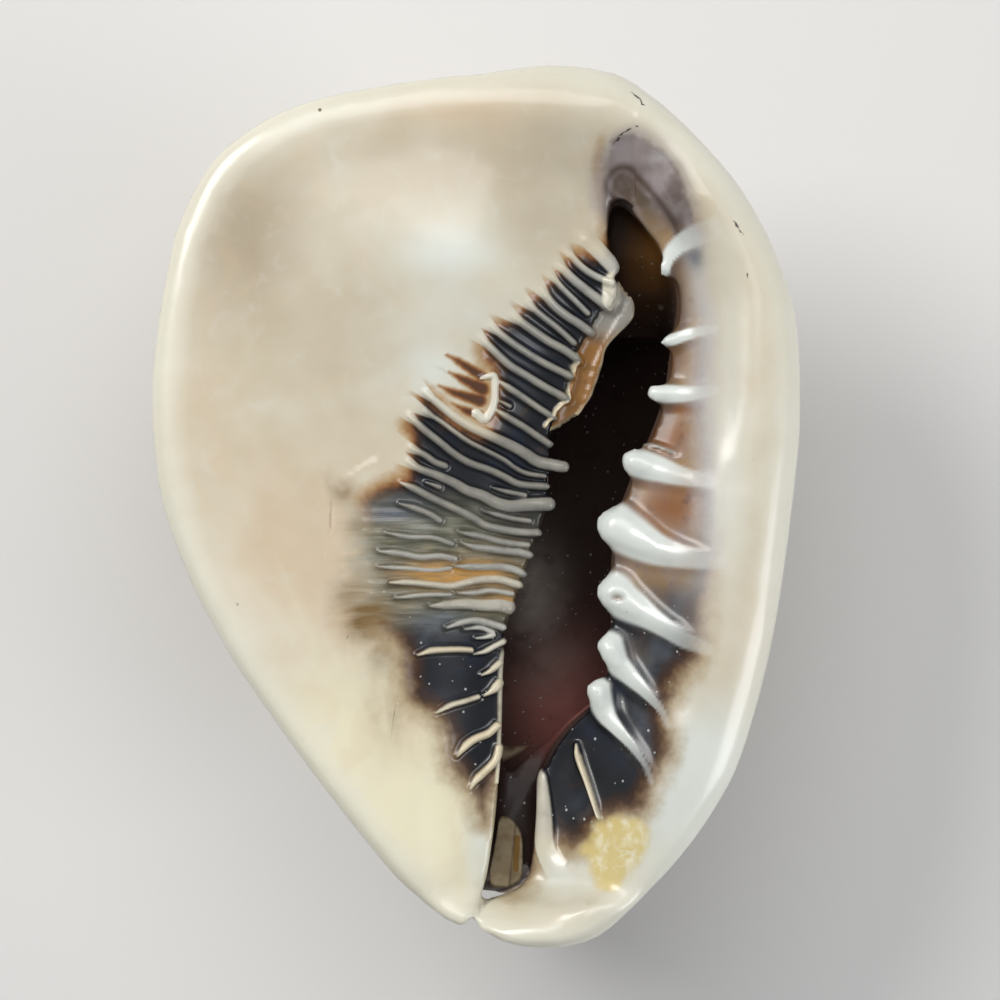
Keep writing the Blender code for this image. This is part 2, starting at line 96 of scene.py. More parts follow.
def step_up(value: np.ndarray, low: float, high: float) -> np.ndarray:
    """A soft step from 0 at the low value to 1 at the high one."""
    share = np.clip((value - low) / (high - low), 0, 1)
    return share * share * (3 - 2 * share)


def nearest(places: np.ndarray, line: np.ndarray) -> tuple[np.ndarray, np.ndarray]:
    """Distance from each place to a line of points, and the share of the line before that point."""
    lengths = np.linalg.norm(np.diff(line, axis=0), axis=1)
    passed = np.concatenate(([0], np.cumsum(lengths)))
    best = np.full(len(places), np.inf)
    along = np.zeros(len(places))
    for start, end, length, run in zip(line[:-1], line[1:], lengths, passed):
        way = (end - start) / length
        step = np.clip((places - start) @ way, 0, length)
        distance = np.linalg.norm(places - start - step[:, None] * way, axis=1)
        closer = distance < best
        best[closer] = distance[closer]
        along[closer] = (run + step[closer]) / passed[-1]
    return best, along


def inside_outline(places: np.ndarray, outline: np.ndarray) -> np.ndarray:
    """Whether each place lies inside a closed outline."""
    inside = np.zeros(len(places), dtype=bool)
    for (x0, y0), (x1, y1) in zip(outline, np.roll(outline, -1, axis=0)):
        if y0 == y1:
            continue
        between = (places[:, 1] > min(y0, y1)) & (places[:, 1] <= max(y0, y1))
        crossing = x0 + (places[:, 1] - y0) * (x1 - x0) / (y1 - y0)
        inside ^= between & (places[:, 0] < crossing)
    return inside


def depth_inside(places: np.ndarray, outline: np.ndarray) -> np.ndarray:
    """Distance to a closed outline, positive inside it."""
    distance, _ = nearest(places, np.vstack((outline, outline[:1])))
    return np.where(inside_outline(places, outline), distance, -distance)


def ripple(places: np.ndarray, wavelength: float, waves: int, seed: int) -> np.ndarray:
    """A smooth irregular field between about -1 and 1, made of plane waves."""
    chance = np.random.default_rng(seed)
    total = np.zeros(len(places))
    for _ in range(waves):
        way = chance.normal(size=places.shape[1])
        way *= TAU / (wavelength * chance.uniform(0.7, 1.5) * np.linalg.norm(way))
        total += np.sin(places @ way + chance.uniform(0, TAU))
    return total / math.sqrt(waves)


class Solid(Enum):
    """Ways of combining two closed meshes."""

    CUT = "DIFFERENCE"
    JOIN = "UNION"


def make_object(name: str, points: np.ndarray, faces: list) -> bpy.types.Object:
    """Makes a closed mesh from points in millimetres, its faces turned outwards."""
    mesh = bpy.data.meshes.new(name)
    mesh.from_pydata((np.asarray(points) * MM).tolist(), [], faces)
    sheet = bmesh.new()
    sheet.from_mesh(mesh)
    bmesh.ops.recalc_face_normals(sheet, faces=sheet.faces)
    sheet.to_mesh(mesh)
    sheet.free()
    thing = bpy.data.objects.new(name, mesh)
    bpy.context.scene.collection.objects.link(thing)
    return thing


def loft(name: str, sections: list) -> bpy.types.Object:
    """Skins closed sections with equal numbers of points and caps both ends."""
    rows = np.asarray(sections, dtype=float)
    count, size = rows.shape[:2]
    faces = []
    for row in range(count - 1):
        for corner in range(size):
            after = (corner + 1) % size
            faces.append((row * size + corner, row * size + after,
                          (row + 1) * size + after, (row + 1) * size + corner))
    faces.append(tuple(range(size)))
    faces.append(tuple((count - 1) * size + corner for corner in range(size)))
    return make_object(name, rows.reshape(-1, 3), faces)


def tube(name: str, stations: Points, sides: int = 24, steps: int = 6,
         squash: float = 1.0) -> bpy.types.Object:
    """A tube along a smooth line.

    Args:
        name: Name of the new object.
        stations: X, Y, Z and radius along the line.
        sides: Corners of each section.
        steps: Sections between two stations.
        squash: Upright size of the section as a share of its width.

    Returns:
        The closed tube with rounded ends.
    """
    line = smooth_line(stations, steps)
    centres = line[:, :3]
    directions = np.gradient(centres, axis=0)
    directions /= np.linalg.norm(directions, axis=1)[:, None]
    angles = np.arange(sides) * TAU / sides
    rings = []
    for centre, direction, radius in zip(centres, directions, line[:, 3]):
        side = np.cross(direction, (0.0, 0.0, 1.0))
        side /= np.linalg.norm(side)
        other = np.cross(side, direction)
        rings.append(centre + radius * (np.outer(np.cos(angles), side)
                                        + squash * np.outer(np.sin(angles), other)))
    rounding = ((0.97, 0.25), (0.80, 0.60), (0.45, 0.90))
    start = [centres[0] + (rings[0] - centres[0]) * size - directions[0] * line[0, 3] * out
             for size, out in reversed(rounding)]
    end = [centres[-1] + (rings[-1] - centres[-1]) * size + directions[-1] * line[-1, 3] * out
           for size, out in rounding]
    return loft(name, start + rings + end)


def ball(name: str, middle: tuple, radii: tuple) -> bpy.types.Object:
    """An ellipsoid."""
    sheet = bmesh.new()
    bmesh.ops.create_icosphere(sheet, subdivisions=3, radius=1)
    points = np.array([corner.co for corner in sheet.verts]) * radii + middle
    faces = [[corner.index for corner in face.verts] for face in sheet.faces]
    sheet.free()
    return make_object(name, points, faces)


def join(things: list, name: str) -> bpy.types.Object:
    """Puts closed meshes that overlap into one object."""
    sheet = bmesh.new()
    for thing in things:
        sheet.from_mesh(thing.data)
        bpy.data.objects.remove(thing, do_unlink=True)
    mesh = bpy.data.meshes.new(name)
    sheet.to_mesh(mesh)
    sheet.free()
    joined = bpy.data.objects.new(name, mesh)
    bpy.context.scene.collection.objects.link(joined)
    return joined


def apply_modifiers(thing: bpy.types.Object) -> None:
    """Replaces an object's mesh with what its modifiers make of it."""
    bpy.context.view_layer.update()
    evaluated = thing.evaluated_get(bpy.context.evaluated_depsgraph_get())
    mesh = bpy.data.meshes.new_from_object(evaluated)
    thing.modifiers.clear()
    thing.data = mesh


def even_out(thing: bpy.types.Object, voxel: float, passes: int) -> None:
    """Gives overlapping forms one even skin and softens it."""
    remesh = thing.modifiers.new("Even skin", "REMESH")
    remesh.mode = "VOXEL"
    remesh.voxel_size = voxel * MM
    soften = thing.modifiers.new("Soften", "SMOOTH")
    soften.factor = 0.5
    soften.iterations = passes
    apply_modifiers(thing)


def soften(sheet: bmesh.types.BMesh, chosen: Callable[[np.ndarray], np.ndarray],
           passes: int) -> None:
    """Softens the part of a mesh that is chosen by its places in millimetres."""
    spots = np.array([corner.co for corner in sheet.verts]) / MM
    soft = [corner for corner, near in zip(sheet.verts, chosen(spots)) if near]
    for _ in range(passes):
        bmesh.ops.smooth_vert(sheet, verts=soft, factor=0.5, use_axis_x=True, use_axis_y=True,
                              use_axis_z=True)


def combine(thing: bpy.types.Object, other: bpy.types.Object, way: Solid) -> None:
    """Joins or cuts a mesh with another one, which is used up."""
    boolean = thing.modifiers.new("Combine", "BOOLEAN")
    boolean.operation = way.value
    boolean.object = other
    apply_modifiers(thing)
    bpy.data.objects.remove(other, do_unlink=True)


def places_of(thing: bpy.types.Object) -> np.ndarray:
    """The vertices of a mesh in millimetres."""
    places = np.empty(len(thing.data.vertices) * 3)
    thing.data.vertices.foreach_get("co", places)
    return places.reshape(-1, 3) / MM


def normals_of(thing: bpy.types.Object) -> np.ndarray:
    """The vertex normals of a mesh."""
    normals = np.empty(len(thing.data.vertices) * 3)
    thing.data.vertices.foreach_get("normal", normals)
    return normals.reshape(-1, 3)


def move_vertices(thing: bpy.types.Object, places: np.ndarray) -> None:
    """Writes the vertices of a mesh, given in millimetres."""
    thing.data.vertices.foreach_set("co", (places * MM).ravel())
    thing.data.update()


def store(thing: bpy.types.Object, name: str, values: np.ndarray) -> None:
    """Stores one number for each vertex under a name that a material can read."""
    attribute = thing.data.attributes.new(name, "FLOAT", "POINT")
    attribute.data.foreach_set("value", values.astype(np.float32))


@dataclass(frozen=True)
class Coil:
    """Whorls wound on a slanting axis, each larger than the last by a constant factor."""

    apex_y: float = 88.0
    axis_x: float = -4.0
    axis_z: float = 50.0
    level_y: float = 15.0
    tilt: float = math.tan(math.radians(3))
    growth: float = 1.8
    whorls: int = 5
    lip_direction: float = math.radians(45)
    # Distance below the apex and radius of the newest whorl
    profile: Points = ((33, 0), (35, 30), (38, 44), (44, 54), (51, 60), (58, 62), (75, 62), (95, 60),
                       (118, 54.5), (135, 45), (150, 32), (163, 19), (173, 9), (178, 2))
    # Distance below the apex, first turn angle, knobs in a turn, knobs, base, height
    knob_rows: Points = ((56, 30, 9, 22, 15, 7.2), (88, 8, 11, 9, 11, 3.2),
                         (118, 15.5, 11, 8, 12.5, 10.5))
    wall: float = 6.0
    columella: float = 7.0
    inner_wall: float = 3.0
    hollow_turns: tuple[float, float] = (math.radians(-24), math.radians(250))
    hollow_reach: tuple[float, float] = (52.0, 146.0)
    # The hollow stays below this height, so that the shield keeps a wall beside the mouth
    hollow_ceiling: float = 95.5

    def radius(self, turn: np.ndarray, y: np.ndarray, older: int) -> np.ndarray:
        """Radius of the whorls that are at least a number of turns old."""
        profile = smooth_line(self.profile, 6)
        radius = np.zeros(np.broadcast(turn, y).shape)
        for age in range(older, self.whorls):
            scale = self.growth ** -(turn / TAU + age)
            reach = scale * np.interp((self.apex_y - y) / scale, profile[:, 0], profile[:, 1], 0, 0)
            radius = np.maximum(radius, reach)
        return radius

    def knobs(self, turn: np.ndarray, y: np.ndarray) -> np.ndarray:
        """How far the knobs stand out from the whorl."""
        rise = np.zeros(np.broadcast(turn, y).shape)
        for below_apex, first, in_a_turn, knobs, base, height in self.knob_rows:
            for index in range(int(knobs)):
                angle = math.radians(first) + index * TAU / in_a_turn
                scale = self.growth ** (-angle / TAU)
                row_radius = scale * np.interp(below_apex, *np.array(self.profile, dtype=float).T)
                around = (turn - angle + math.pi) % TAU - math.pi
                along = y - (self.apex_y - scale * below_apex)
                distance = np.hypot(around * row_radius, along) / (base * scale)
                dome = 0.5 + 0.5 * np.cos(math.pi * np.minimum(distance, 1))
                rise = np.maximum(rise, height * scale * dome ** 0.8)
        return rise

    def place(self, turn: np.ndarray, y: np.ndarray, radius: np.ndarray) -> np.ndarray:
        """The place of a point, given its turn back from the lip, its Y and its radius."""
        direction = self.lip_direction - turn
        axis_z = self.axis_z + (y - self.level_y) * self.tilt
        return np.stack(np.broadcast_arrays(self.axis_x + radius * np.cos(direction), y,
                                            axis_z + radius * np.sin(direction)), axis=-1)

    def turn_and_radius(self, places: np.ndarray) -> tuple[np.ndarray, np.ndarray]:
        """The turn back from the lip and the radius of each place."""
        axis_z = self.axis_z + (places[:, 1] - self.level_y) * self.tilt
        across = places[:, 0] - self.axis_x
        up = places[:, 2] - axis_z
        return (self.lip_direction - np.arctan2(up, across)) % TAU, np.hypot(across, up)

    def outer_form(self) -> bpy.types.Object:
        """The body whorl, the spire and their knobs."""
        turns = np.linspace(0, TAU, 217)
        levels = np.linspace(self.apex_y - 0.2, self.apex_y - self.profile[-1][0] - 0.5, 160)
        sections = []
        for y in levels:
            plain = self.radius(turns, y, 0)
            radius = plain + self.knobs(turns, y) * (plain > 3)
            sections.append(self.place(turns, y, np.maximum(radius, 0.3)))
        return loft("whorls", sections)

    def hollow_form(self) -> bpy.types.Object:
        """The space inside the body whorl."""
        heights = np.linspace(self.apex_y, self.apex_y - 190, 400)
        sections = []
        for turn in np.linspace(*self.hollow_turns, 26):
            scale = self.growth ** (-turn / TAU)
            outer = self.radius(turn, heights, 0) - self.wall * scale
            inner = np.maximum(self.radius(turn, heights, 1) + self.inner_wall, self.columella)
            below_apex = (self.apex_y - heights) / scale
            reached = (below_apex > self.hollow_reach[0]) & (below_apex < self.hollow_reach[1])
            clear = np.flatnonzero((outer - inner > 0.6) & reached)
            levels = np.linspace(heights[clear[0]], heights[clear[-1]], 22)
            down = self.place(turn, levels, np.interp(-levels, -heights, outer))
            up = self.place(turn, levels, np.interp(-levels, -heights, inner))[::-1]
            section = np.vstack((down, up))
            section[:, 2] = np.minimum(section[:, 2], self.hollow_ceiling)
            sections.append(section)
        return loft("hollow", sections)


@dataclass(frozen=True)
class Mouth:
    """The long mouth, its slopes, and the height of the face round it."""

    # X and Y along the edge of the shield and along the edge of the lip
    columellar_edge: Points = ((31, 70), (30, 62), (32, 54), (30.5, 48), (26, 40), (22.5, 33),
                               (20.5, 25), (17, 17), (17, 8), (16, 0), (13.5, -8), (10.5, -16),
                               (7.5, -25), (5.8, -34), (5.3, -50), (4.7, -66), (3, -80), (1.6, -87),
                               (-0.6, -91.5), (-2.5, -95), (-4, -104))
    lip_edge: Points = ((32, 70), (37, 66), (41, 61), (44.5, 54), (46, 46), (44.5, 37), (43, 26),
                        (40, 17), (36, 8), (33, 0), (31, -10), (30.7, -25), (30.5, -36), (27.5, -44),
                        (20, -52), (15.5, -60), (14, -70), (13, -79), (12, -85), (9.5, -88),
                        (5, -89.6), (1.2, -90.4), (0.2, -92.5), (0.8, -96), (2.5, -104))
    # Height and Y of the floor: a ledge at the spire's end, the hollow, the canal
    floor: Points = ((87, 72), (84, 66), (79, 58), (66, 50), (44, 41), (44, -30), (62, -45),
                     (70, -56), (77, -66), (81, -78), (83, -90), (83, -104))
    reach: tuple[float, float] = (69.5, -103.0)
    least_width: float = 0.8
    undercut: float = 7.0
    undercut_reach: tuple[float, ...] = (-50.0, -30.0, 28.0, 42.0)
    floor_rounding: float = 0.2
    face_edge: float = 92.0
    above_face: float = 125.0
    columellar_slope: tuple[float, float] = (9.0, 17.0)
    lip_slope: tuple[float, float] = (9.0, 12.0)
    canal_slope: tuple[float, float] = (15.0, 18.0)
    canal_start: tuple[float, float] = (-50.0, 4.0)
    canal_floor_rise: float = 9.0
    canal_floor_reach: tuple[float, float] = (-60.0, -45.0)
    face_ends: tuple[float, ...] = (-99.0, -85.0, 68.0, 92.0)
    face_root: tuple[float, float] = (62.0, 84.0)
    shield_top: float = 100.0
    swelling: tuple[float, ...] = (-8.0, 57.0, 24.0, 17.0, 3.5)

    @staticmethod
    def across(edge: Points, y: np.ndarray) -> np.ndarray:
        """X of an edge at each Y."""
        line = smooth_line(edge, 6)
        order = np.argsort(line[:, 1])
        return np.interp(y, line[order, 1], line[order, 0])

    def floor_at(self, y: np.ndarray) -> np.ndarray:
        """Height of the mouth's floor at each Y."""
        heights = np.array(self.floor, dtype=float)[::-1]
        return np.interp(y, heights[:, 1], heights[:, 0])

    def opening_form(self) -> bpy.types.Object:
        """The opening between the two edges, down to the hollow or the canal."""
        sections = []
        for y in np.linspace(*self.reach, 120):
            left = self.across(self.columellar_edge, y)
            right = max(self.across(self.lip_edge, y), left + self.least_width)
            floor = self.floor_at(y)
            wall = self.face_edge - floor
            undercut = self.undercut * np.interp(y, self.undercut_reach, (0, 1, 1, 0))
            inset = self.floor_rounding * min(wall / 4, right - left)
            rise = self.canal_floor_rise * np.interp(y, self.canal_floor_reach, (1, 0))
            sections.append(((left, y, self.above_face), (left, y, self.face_edge),
                             (left, y, floor + wall / 4), (left + inset, y, floor),
                             (right + undercut - inset, y, floor + min(rise, wall - 2)),
                             (right + undercut, y, floor + min(max(wall / 2, rise + 1), wall - 1)),
                             (right, y, self.face_edge), (right, y, self.above_face)))
        return loft("opening", sections)

    def dish(self, x: np.ndarray, y: np.ndarray) -> np.ndarray:
        """How far the face lies below the shield's flat height."""
        left = self.across(self.columellar_edge, y)
        right = self.across(self.lip_edge, y)
        canal = 1 / (1 + np.exp((y - self.canal_start[0]) / self.canal_start[1]))
        lip_depth = self.lip_slope[0] * (1 - canal) + self.canal_slope[0] * canal
        lip_width = self.lip_slope[1] * (1 - canal) + self.canal_slope[1] * canal
        ends = np.interp(y, self.face_ends, (0, 1, 1, 0))
        fade = ends * ends * (3 - 2 * ends)
        from_left = np.maximum(left - x, 0) / self.columellar_slope[1]
        from_right = np.maximum(x - right, 0) / lip_width
        on_left = self.columellar_slope[0] * np.exp(-from_left ** 2)
        on_right = lip_depth * np.exp(-from_right ** 2)
        share = np.clip((x - left) / np.maximum(right - left, 0.5), 0, 1)
        down = fade * (on_left * (1 - share) + on_right * share)
        reach = (((x - self.swelling[0]) / self.swelling[2]) ** 2
                 + ((y - self.swelling[1]) / self.swelling[3]) ** 2)
        return down - self.swelling[4] * np.exp(-reach)

    def height(self, x: np.ndarray, y: np.ndarray) -> np.ndarray:
        """Height of the face, away from the rim."""
        return self.shield_top - self.dish(x, y)


@dataclass(frozen=True)
class Plate:
    """The plate round the mouth: the thin shield on the left and the thick lip on the right."""

    rim: Points = ((14, 100), (21, 100), (28, 99), (35, 96.5), (48.5, 85.5), (62, 69), (71.5, 47),
                   (73.4, 24), (72, 4), (67.5, -28), (60.5, -55), (54, -68.5), (44, -82), (29.5, -96),
                   (21, -99.5), (15.5, -100), (7.5, -99), (1, -96), (-6, -94.2), (-13, -89),
                   (-20, -82), (-41, -55), (-59, -28), (-70.5, -1), (-73.4, 26), (-70, 53.5),
                   (-66, 67), (-57.5, 80.5), (-40, 91), (-13, 96.5), (1, 98))
    outset: float = 0.4
    midline_x: float = 4.0
    midline_y: tuple[float, float] = (-60.0, 45.0)
    reach: float = 0.94
    top: float = 100.0
    # Half thickness, width of the rounding and height of the middle of the rim
    shield_rim: tuple[float, float, float] = (4.0, 5.0, 97.5)
    lip_rim: tuple[float, float, float] = (9.5, 12.0, 93.5)
    root_slope: float = 0.16
    lip_side: tuple[float, float, float] = (22.0, 0.12, 9.0)
    callus: Points = ((-45, 45), (-44, 20), (-34, -12), (-20, -40), (-8, -66), (2, -80), (22, -70),
                      (42, -36), (54, 0), (59, 28), (62, 54), (48, 76), (14, 80), (-30, 70))
    callus_middle: tuple[float, float] = (4.0, 0.0)
    callus_sizes: Points = ((52, 0.80), (66, 0.86), (76, 0.89), (83, 0.93), (88, 0.98), (93, 1.04))

    def section(self, lipness: float) -> list[tuple[float, float]]:
        """Inward distance and height across the rim, from under its root to the top."""
        half, width, middle = (np.array(self.shield_rim) * (1 - lipness)
                               + np.array(self.lip_rim) * lipness)
        section = [(width + reach, middle - half - self.root_slope * reach)
                   for reach in (42, 30, 20, 12, 6, 2)]
        for angle in np.linspace(-90, 90, 13):
            turn = math.radians(angle)
            section.append((width * (1 - math.cos(turn)), middle + half * math.sin(turn)))
        crest = middle + half
        for reach in (3, 8, 15, 26, 42):
            settled = 1 - math.exp(-(reach / 9) ** 2)
            section.append((width + reach, crest + (self.top - crest) * settled))
        return section

    def form(self) -> bpy.types.Object:
        """The plate as a closed mesh."""
        outline = smooth_line(self.rim, 8, closed=True)
        middle = np.stack((np.full(len(outline), self.midline_x),
                           np.clip(outline[:, 1], *self.midline_y)), axis=1)
        inward = middle - outline
        room = np.linalg.norm(inward, axis=1)
        inward /= room[:, None]
        outline = outline - inward * self.outset
        side, lean, width = self.lip_side
        lipness = 1 / (1 + np.exp(-(outline[:, 0] - side + lean * outline[:, 1]) / width))
        sections = np.array([self.section(value) for value in lipness])
        rings = []
        for step in range(sections.shape[1]):
            distance = np.minimum(sections[:, step, 0], self.reach * room)
            place = outline + inward * distance[:, None]
            rings.append(np.column_stack((place, sections[:, step, 1])))
        return loft("plate", rings)

    def callus_form(self) -> bpy.types.Object:
        """The callus that joins the body whorl to the plate."""
        outline = smooth_line(self.callus, 5, closed=True)
        rings = []
        for height, size in self.callus_sizes:
            ring = np.array(self.callus_middle) + (outline - self.callus_middle) * size
            rings.append(np.column_stack((ring, np.full(len(ring), height))))
        return loft("callus", rings)


@dataclass(frozen=True)
class Ridge:
    """A ridge that runs over the face to the mouth."""

    width: float
    height: float
    line: Points
    end_width: float = 0.0
    cream: float = 0.0
    spread: float = 0.0


@dataclass(frozen=True)
class Tooth:
    """A tooth of the lip: X, Y, width and height above the face, from its tip to its root."""

    stations: Points
    drop: float = 4.0


RIDGES = (
    Ridge(4.2, 1.0, ((23.4, 62.3), (26, 60), (28.6, 57.4), (31.1, 54.7)), 3.2, spread=3),
    Ridge(1.3, 0.9, ((20.2, 58.6), (23, 55.4), (25.7, 53.3), (28.7, 51.8), (30.7, 51.1)),
          1.5, spread=3),
    Ridge(1.8, 1.0, ((18.2, 55.4), (21.6, 52), (25, 49.3), (28, 47), (30, 45.4)), 2.0,
          spread=3),
    Ridge(1.2, 0.8, ((16.6, 52.8), (19.4, 49.7), (22.3, 47), (25.3, 44.1)), 1.1, spread=3),
    Ridge(1.8, 1.0, ((14.4, 49.4), (17.3, 45.9), (20.5, 43.4), (23.4, 41.6), (26.2, 39.6)),
          1.8, spread=3),
    Ridge(1.3, 0.9, ((11.4, 46.1), (14.4, 43.6), (17.8, 41.1), (20, 39.3), (22.2, 37.3)),
          1.2, spread=3),
    Ridge(1.8, 1.0, ((8, 43.2), (12.1, 40.4), (16.2, 37.7), (20, 35.7), (23.6, 33.2)),
          1.7, spread=3.5),
    Ridge(1.5, 0.9, ((3, 40.9), (6.5, 38.2), (9.9, 35.9), (14.4, 33.2), (21.2, 29.8)),
          1.5, spread=3.5),
    Ridge(1.6, 0.9, ((0.6, 38.4), (4.2, 35), (7.6, 32), (11, 30), (15.5, 27.3), (21, 24.4)),
          1.6, spread=3),
    Ridge(1.4, 0.8, ((4.6, 28.7), (7.6, 26.8), (11, 24.6), (14.4, 22.3), (17.6, 20.3)), 1.3),
    Ridge(0.8, 0.3, ((5.1, 24.1), (7.6, 22.8))),
    Ridge(1.4, 0.8, ((4, 22.2), (7.6, 20), (11, 18), (14.4, 15.7), (16.8, 14.2)), 1.4),
    Ridge(1.0, 0.4, ((17.3, 15.5), (19.8, 14.2))),
    Ridge(1.5, 0.9, ((-11.7, 25.9), (-8.3, 23), (-4.9, 20.3), (-1.5, 18.2), (1.9, 16.6),
                     (5.3, 15.1), (8.7, 13.5), (11.4, 11.9), (14.4, 10.1), (20.4, 9.1)), 2.6,
          spread=4),
    Ridge(0.9, 0.6, ((-11.7, 21.4), (-8.3, 19.4), (-4.9, 16.9), (-1.5, 14.6), (3.1, 12.3),
                     (6.5, 10.5), (8.7, 8.9), (11.4, 7.6), (15.5, 6.9)), spread=4),
    Ridge(1.5, 0.9, ((-15.5, 20.7), (-11.7, 17.3), (-8.3, 14.6), (-4.9, 11.9), (-1.5, 9.9),
                     (3.1, 8.3), (6.5, 6.7), (9.9, 5.1), (15.8, 4.6)), 1.4, spread=4),
    Ridge(1.3, 0.7, ((-15.1, 13.3), (-11.7, 11.7), (-9.4, 10.1), (-7.1, 9.2)), spread=4),
    Ridge(0.9, 0.5, ((4, 4.2), (6.5, 3.5), (11, 2.6))),
    Ridge(1.4, 0.8, ((-15.5, 10.1), (-12.8, 8.5), (-8.9, 7.1), (-4.9, 5.3), (-2.2, 3.7), (1.2, 2.6),
                     (4.2, 1), (7.6, 0.1), (11, 0.4), (17.6, 0.6)), 3.0, spread=4),
    Ridge(0.9, 0.4, ((1.7, -1), (4.2, -1.7), (7.6, -2.6), (12.1, -3.3))),
    Ridge(0.9, 0.4, ((-11.4, 5.5), (-8.3, 4.4))),
    Ridge(1.5, 0.8, ((-17.3, 5.5), (-13.9, 4), (-10.5, 2.2), (-7.1, 0.6), (-3.7, -1), (-0.3, -2.8),
                     (1.9, -4.2), (5.3, -5.1), (9.9, -5.8), (14.6, -6)), 1.5),
    Ridge(1.1, 0.35, ((-17.3, 0.6), (-13.9, -0.3), (-10.5, -1.7), (-8.3, -3.1))),
    Ridge(1.2, 0.7, ((-3.7, -5.8), (0.8, -6.7), (4.2, -7.6), (7.6, -8.3), (11.6, -8.8))),
    Ridge(1.3, 0.7, ((-3.1, -8.3), (-0.3, -9.2), (3.1, -9.6), (6.5, -10.1), (9.9, -10.5),
                     (13, -11.4)), 1.6),
    Ridge(1.2, 0.4, ((-21.9, -10.1), (-17.3, -10.5), (-12.8, -11.4), (-8.3, -11.2), (-4.9, -11.9))),
    Ridge(0.9, 0.3, ((-20, -6), (-15, -6.8), (-10, -7), (-5.5, -8.4))),
    Ridge(0.8, 0.3, ((-22, -13.6), (-16, -13.9), (-10, -14.4), (-6, -14))),
    Ridge(0.8, 0.3, ((-18, -20.6), (-12, -20), (-6, -20))),
    Ridge(1.4, 0.7, ((-4.9, -13.5), (0.8, -13.7), (5.3, -13.7), (8.7, -14.4), (11.4, -15.9)), 1.5),
    Ridge(1.1, 0.8, ((-19.6, -17.1), (-15.1, -17.1), (-10.5, -17.6), (-6, -18), (-2.6, -17.3),
                     (0.8, -16.6), (5.3, -16.6), (9.8, -18)), 1.7, 0.4),
    Ridge(1.0, 0.5, ((-4.2, -19.6), (-0.3, -19.6), (3.1, -19.1), (8.2, -19.9))),
    Ridge(1.6, 0.8, ((-10.5, -22.5), (-7.1, -22.3), (-2.6, -22.1), (1.9, -22.5), (5.3, -22.5),
                     (8.9, -23.5)), 2.9, 0.2),
    Ridge(1.2, 0.6, ((-6.7, -27.5), (-3.7, -26.4), (-0.3, -25.9), (3.1, -26.6), (6, -27.6)), 1.4),
    Ridge(0.9, 0.4, ((-2.6, -27.9), (0.8, -27.6), (3.7, -28.7))),
    Ridge(0.9, 0.4, ((-0.1, -30), (1.9, -29.8), (3.9, -29.3))),
    Ridge(1.4, 0.9, ((-13.3, -33.6), (-10.5, -32.7), (-7.1, -32.5), (-3.7, -32.5), (-1.3, -32.7)),
          1.1, 0.9),
    Ridge(1.0, 0.6, ((-0.6, -33.6), (1.9, -33), (4.2, -31.8), (6.9, -30.5)), 1.2, 0.4),
    Ridge(1.2, 0.6, ((1.2, -38.4), (3.1, -37.5), (5.3, -35.7)), 1.4, 0.7),
    Ridge(1.4, 0.7, ((1.7, -43.1), (3.5, -42), (5.3, -40.4)), 2.2, 0.8),
    Ridge(1.2, 0.8, ((-9.2, -46.8), (-6, -45.2), (-2.6, -44.3), (0.3, -43.4)), 1.0, 0.6),
    Ridge(1.7, 0.9, ((-4.4, -56.7), (-2.6, -54.5), (-0.3, -52.9), (2.6, -51.8), (4.6, -50)), 1.6,
          1.0),
    Ridge(1.7, 0.9, ((-1.5, -64.2), (-0.3, -62.4), (1.9, -60.4), (4.2, -57.9), (5.1, -55)), 1.6,
          1.0),
    Ridge(0.8, 0.4, ((6.6, -31.2), (5.7, -35), (5.4, -42), (5.3, -50), (4.9, -58), (4.5, -63)),
          0.7, 0.6),
)

# The thin crest between the ends of the upper ridges and the ledge below them
FLAKE_CREST = Ridge(1.0, 1.1, ((22.9, 35), (22.6, 32.4), (22.3, 29.3), (21.4, 26.1), (19.9, 23.8),
                               (18, 21.7), (15.7, 18.3)), 0.8, 1.0)
# The rim of a small old chip in the shield
CHIP_RIM = Ridge(1.6, 0.8, ((0.9, 29.2), (3.6, 29.7), (4.1, 28), (3.9, 23.4), (1.9, 19.9),
                            (-0.2, 21.2)), 1.8, 0.3)
CHIP_STREAKS = (
    Ridge(0.9, 0.0, ((-6.9, 34.4), (-3.4, 32.4), (1.0, 29.6)), 2.6),
    Ridge(0.8, 0.0, ((-6.2, 30.4), (-2.6, 28.6), (1.4, 26.6)), 3.2),
    Ridge(0.9, 0.0, ((-8.6, 27.4), (-4.6, 25.6), (0.8, 24)), 3.0),
    Ridge(0.8, 0.0, ((-5.6, 23.4), (-2.6, 21.8), (0.4, 20.8)), 2.4),
)
# Ridges of the lip near the canal, too narrow to be teeth
LIP_RIDGES = (
    Ridge(1.6, 1.1, ((22.8, -54.5), (23.4, -57.9), (25.3, -63.1), (26.8, -67.6), (28, -71)), 0.8,
          0.9),
    Ridge(1.7, 1.0, ((14.4, -59), (15.1, -64.2), (15.5, -69.9), (15.6, -77), (16.4, -80),
                     (18, -83)), 5.0, 0.3),
    Ridge(0.8, 0.5, ((37, 13.5), (39.4, 14.1), (41.6, 13.6), (45, 12.2))),
)

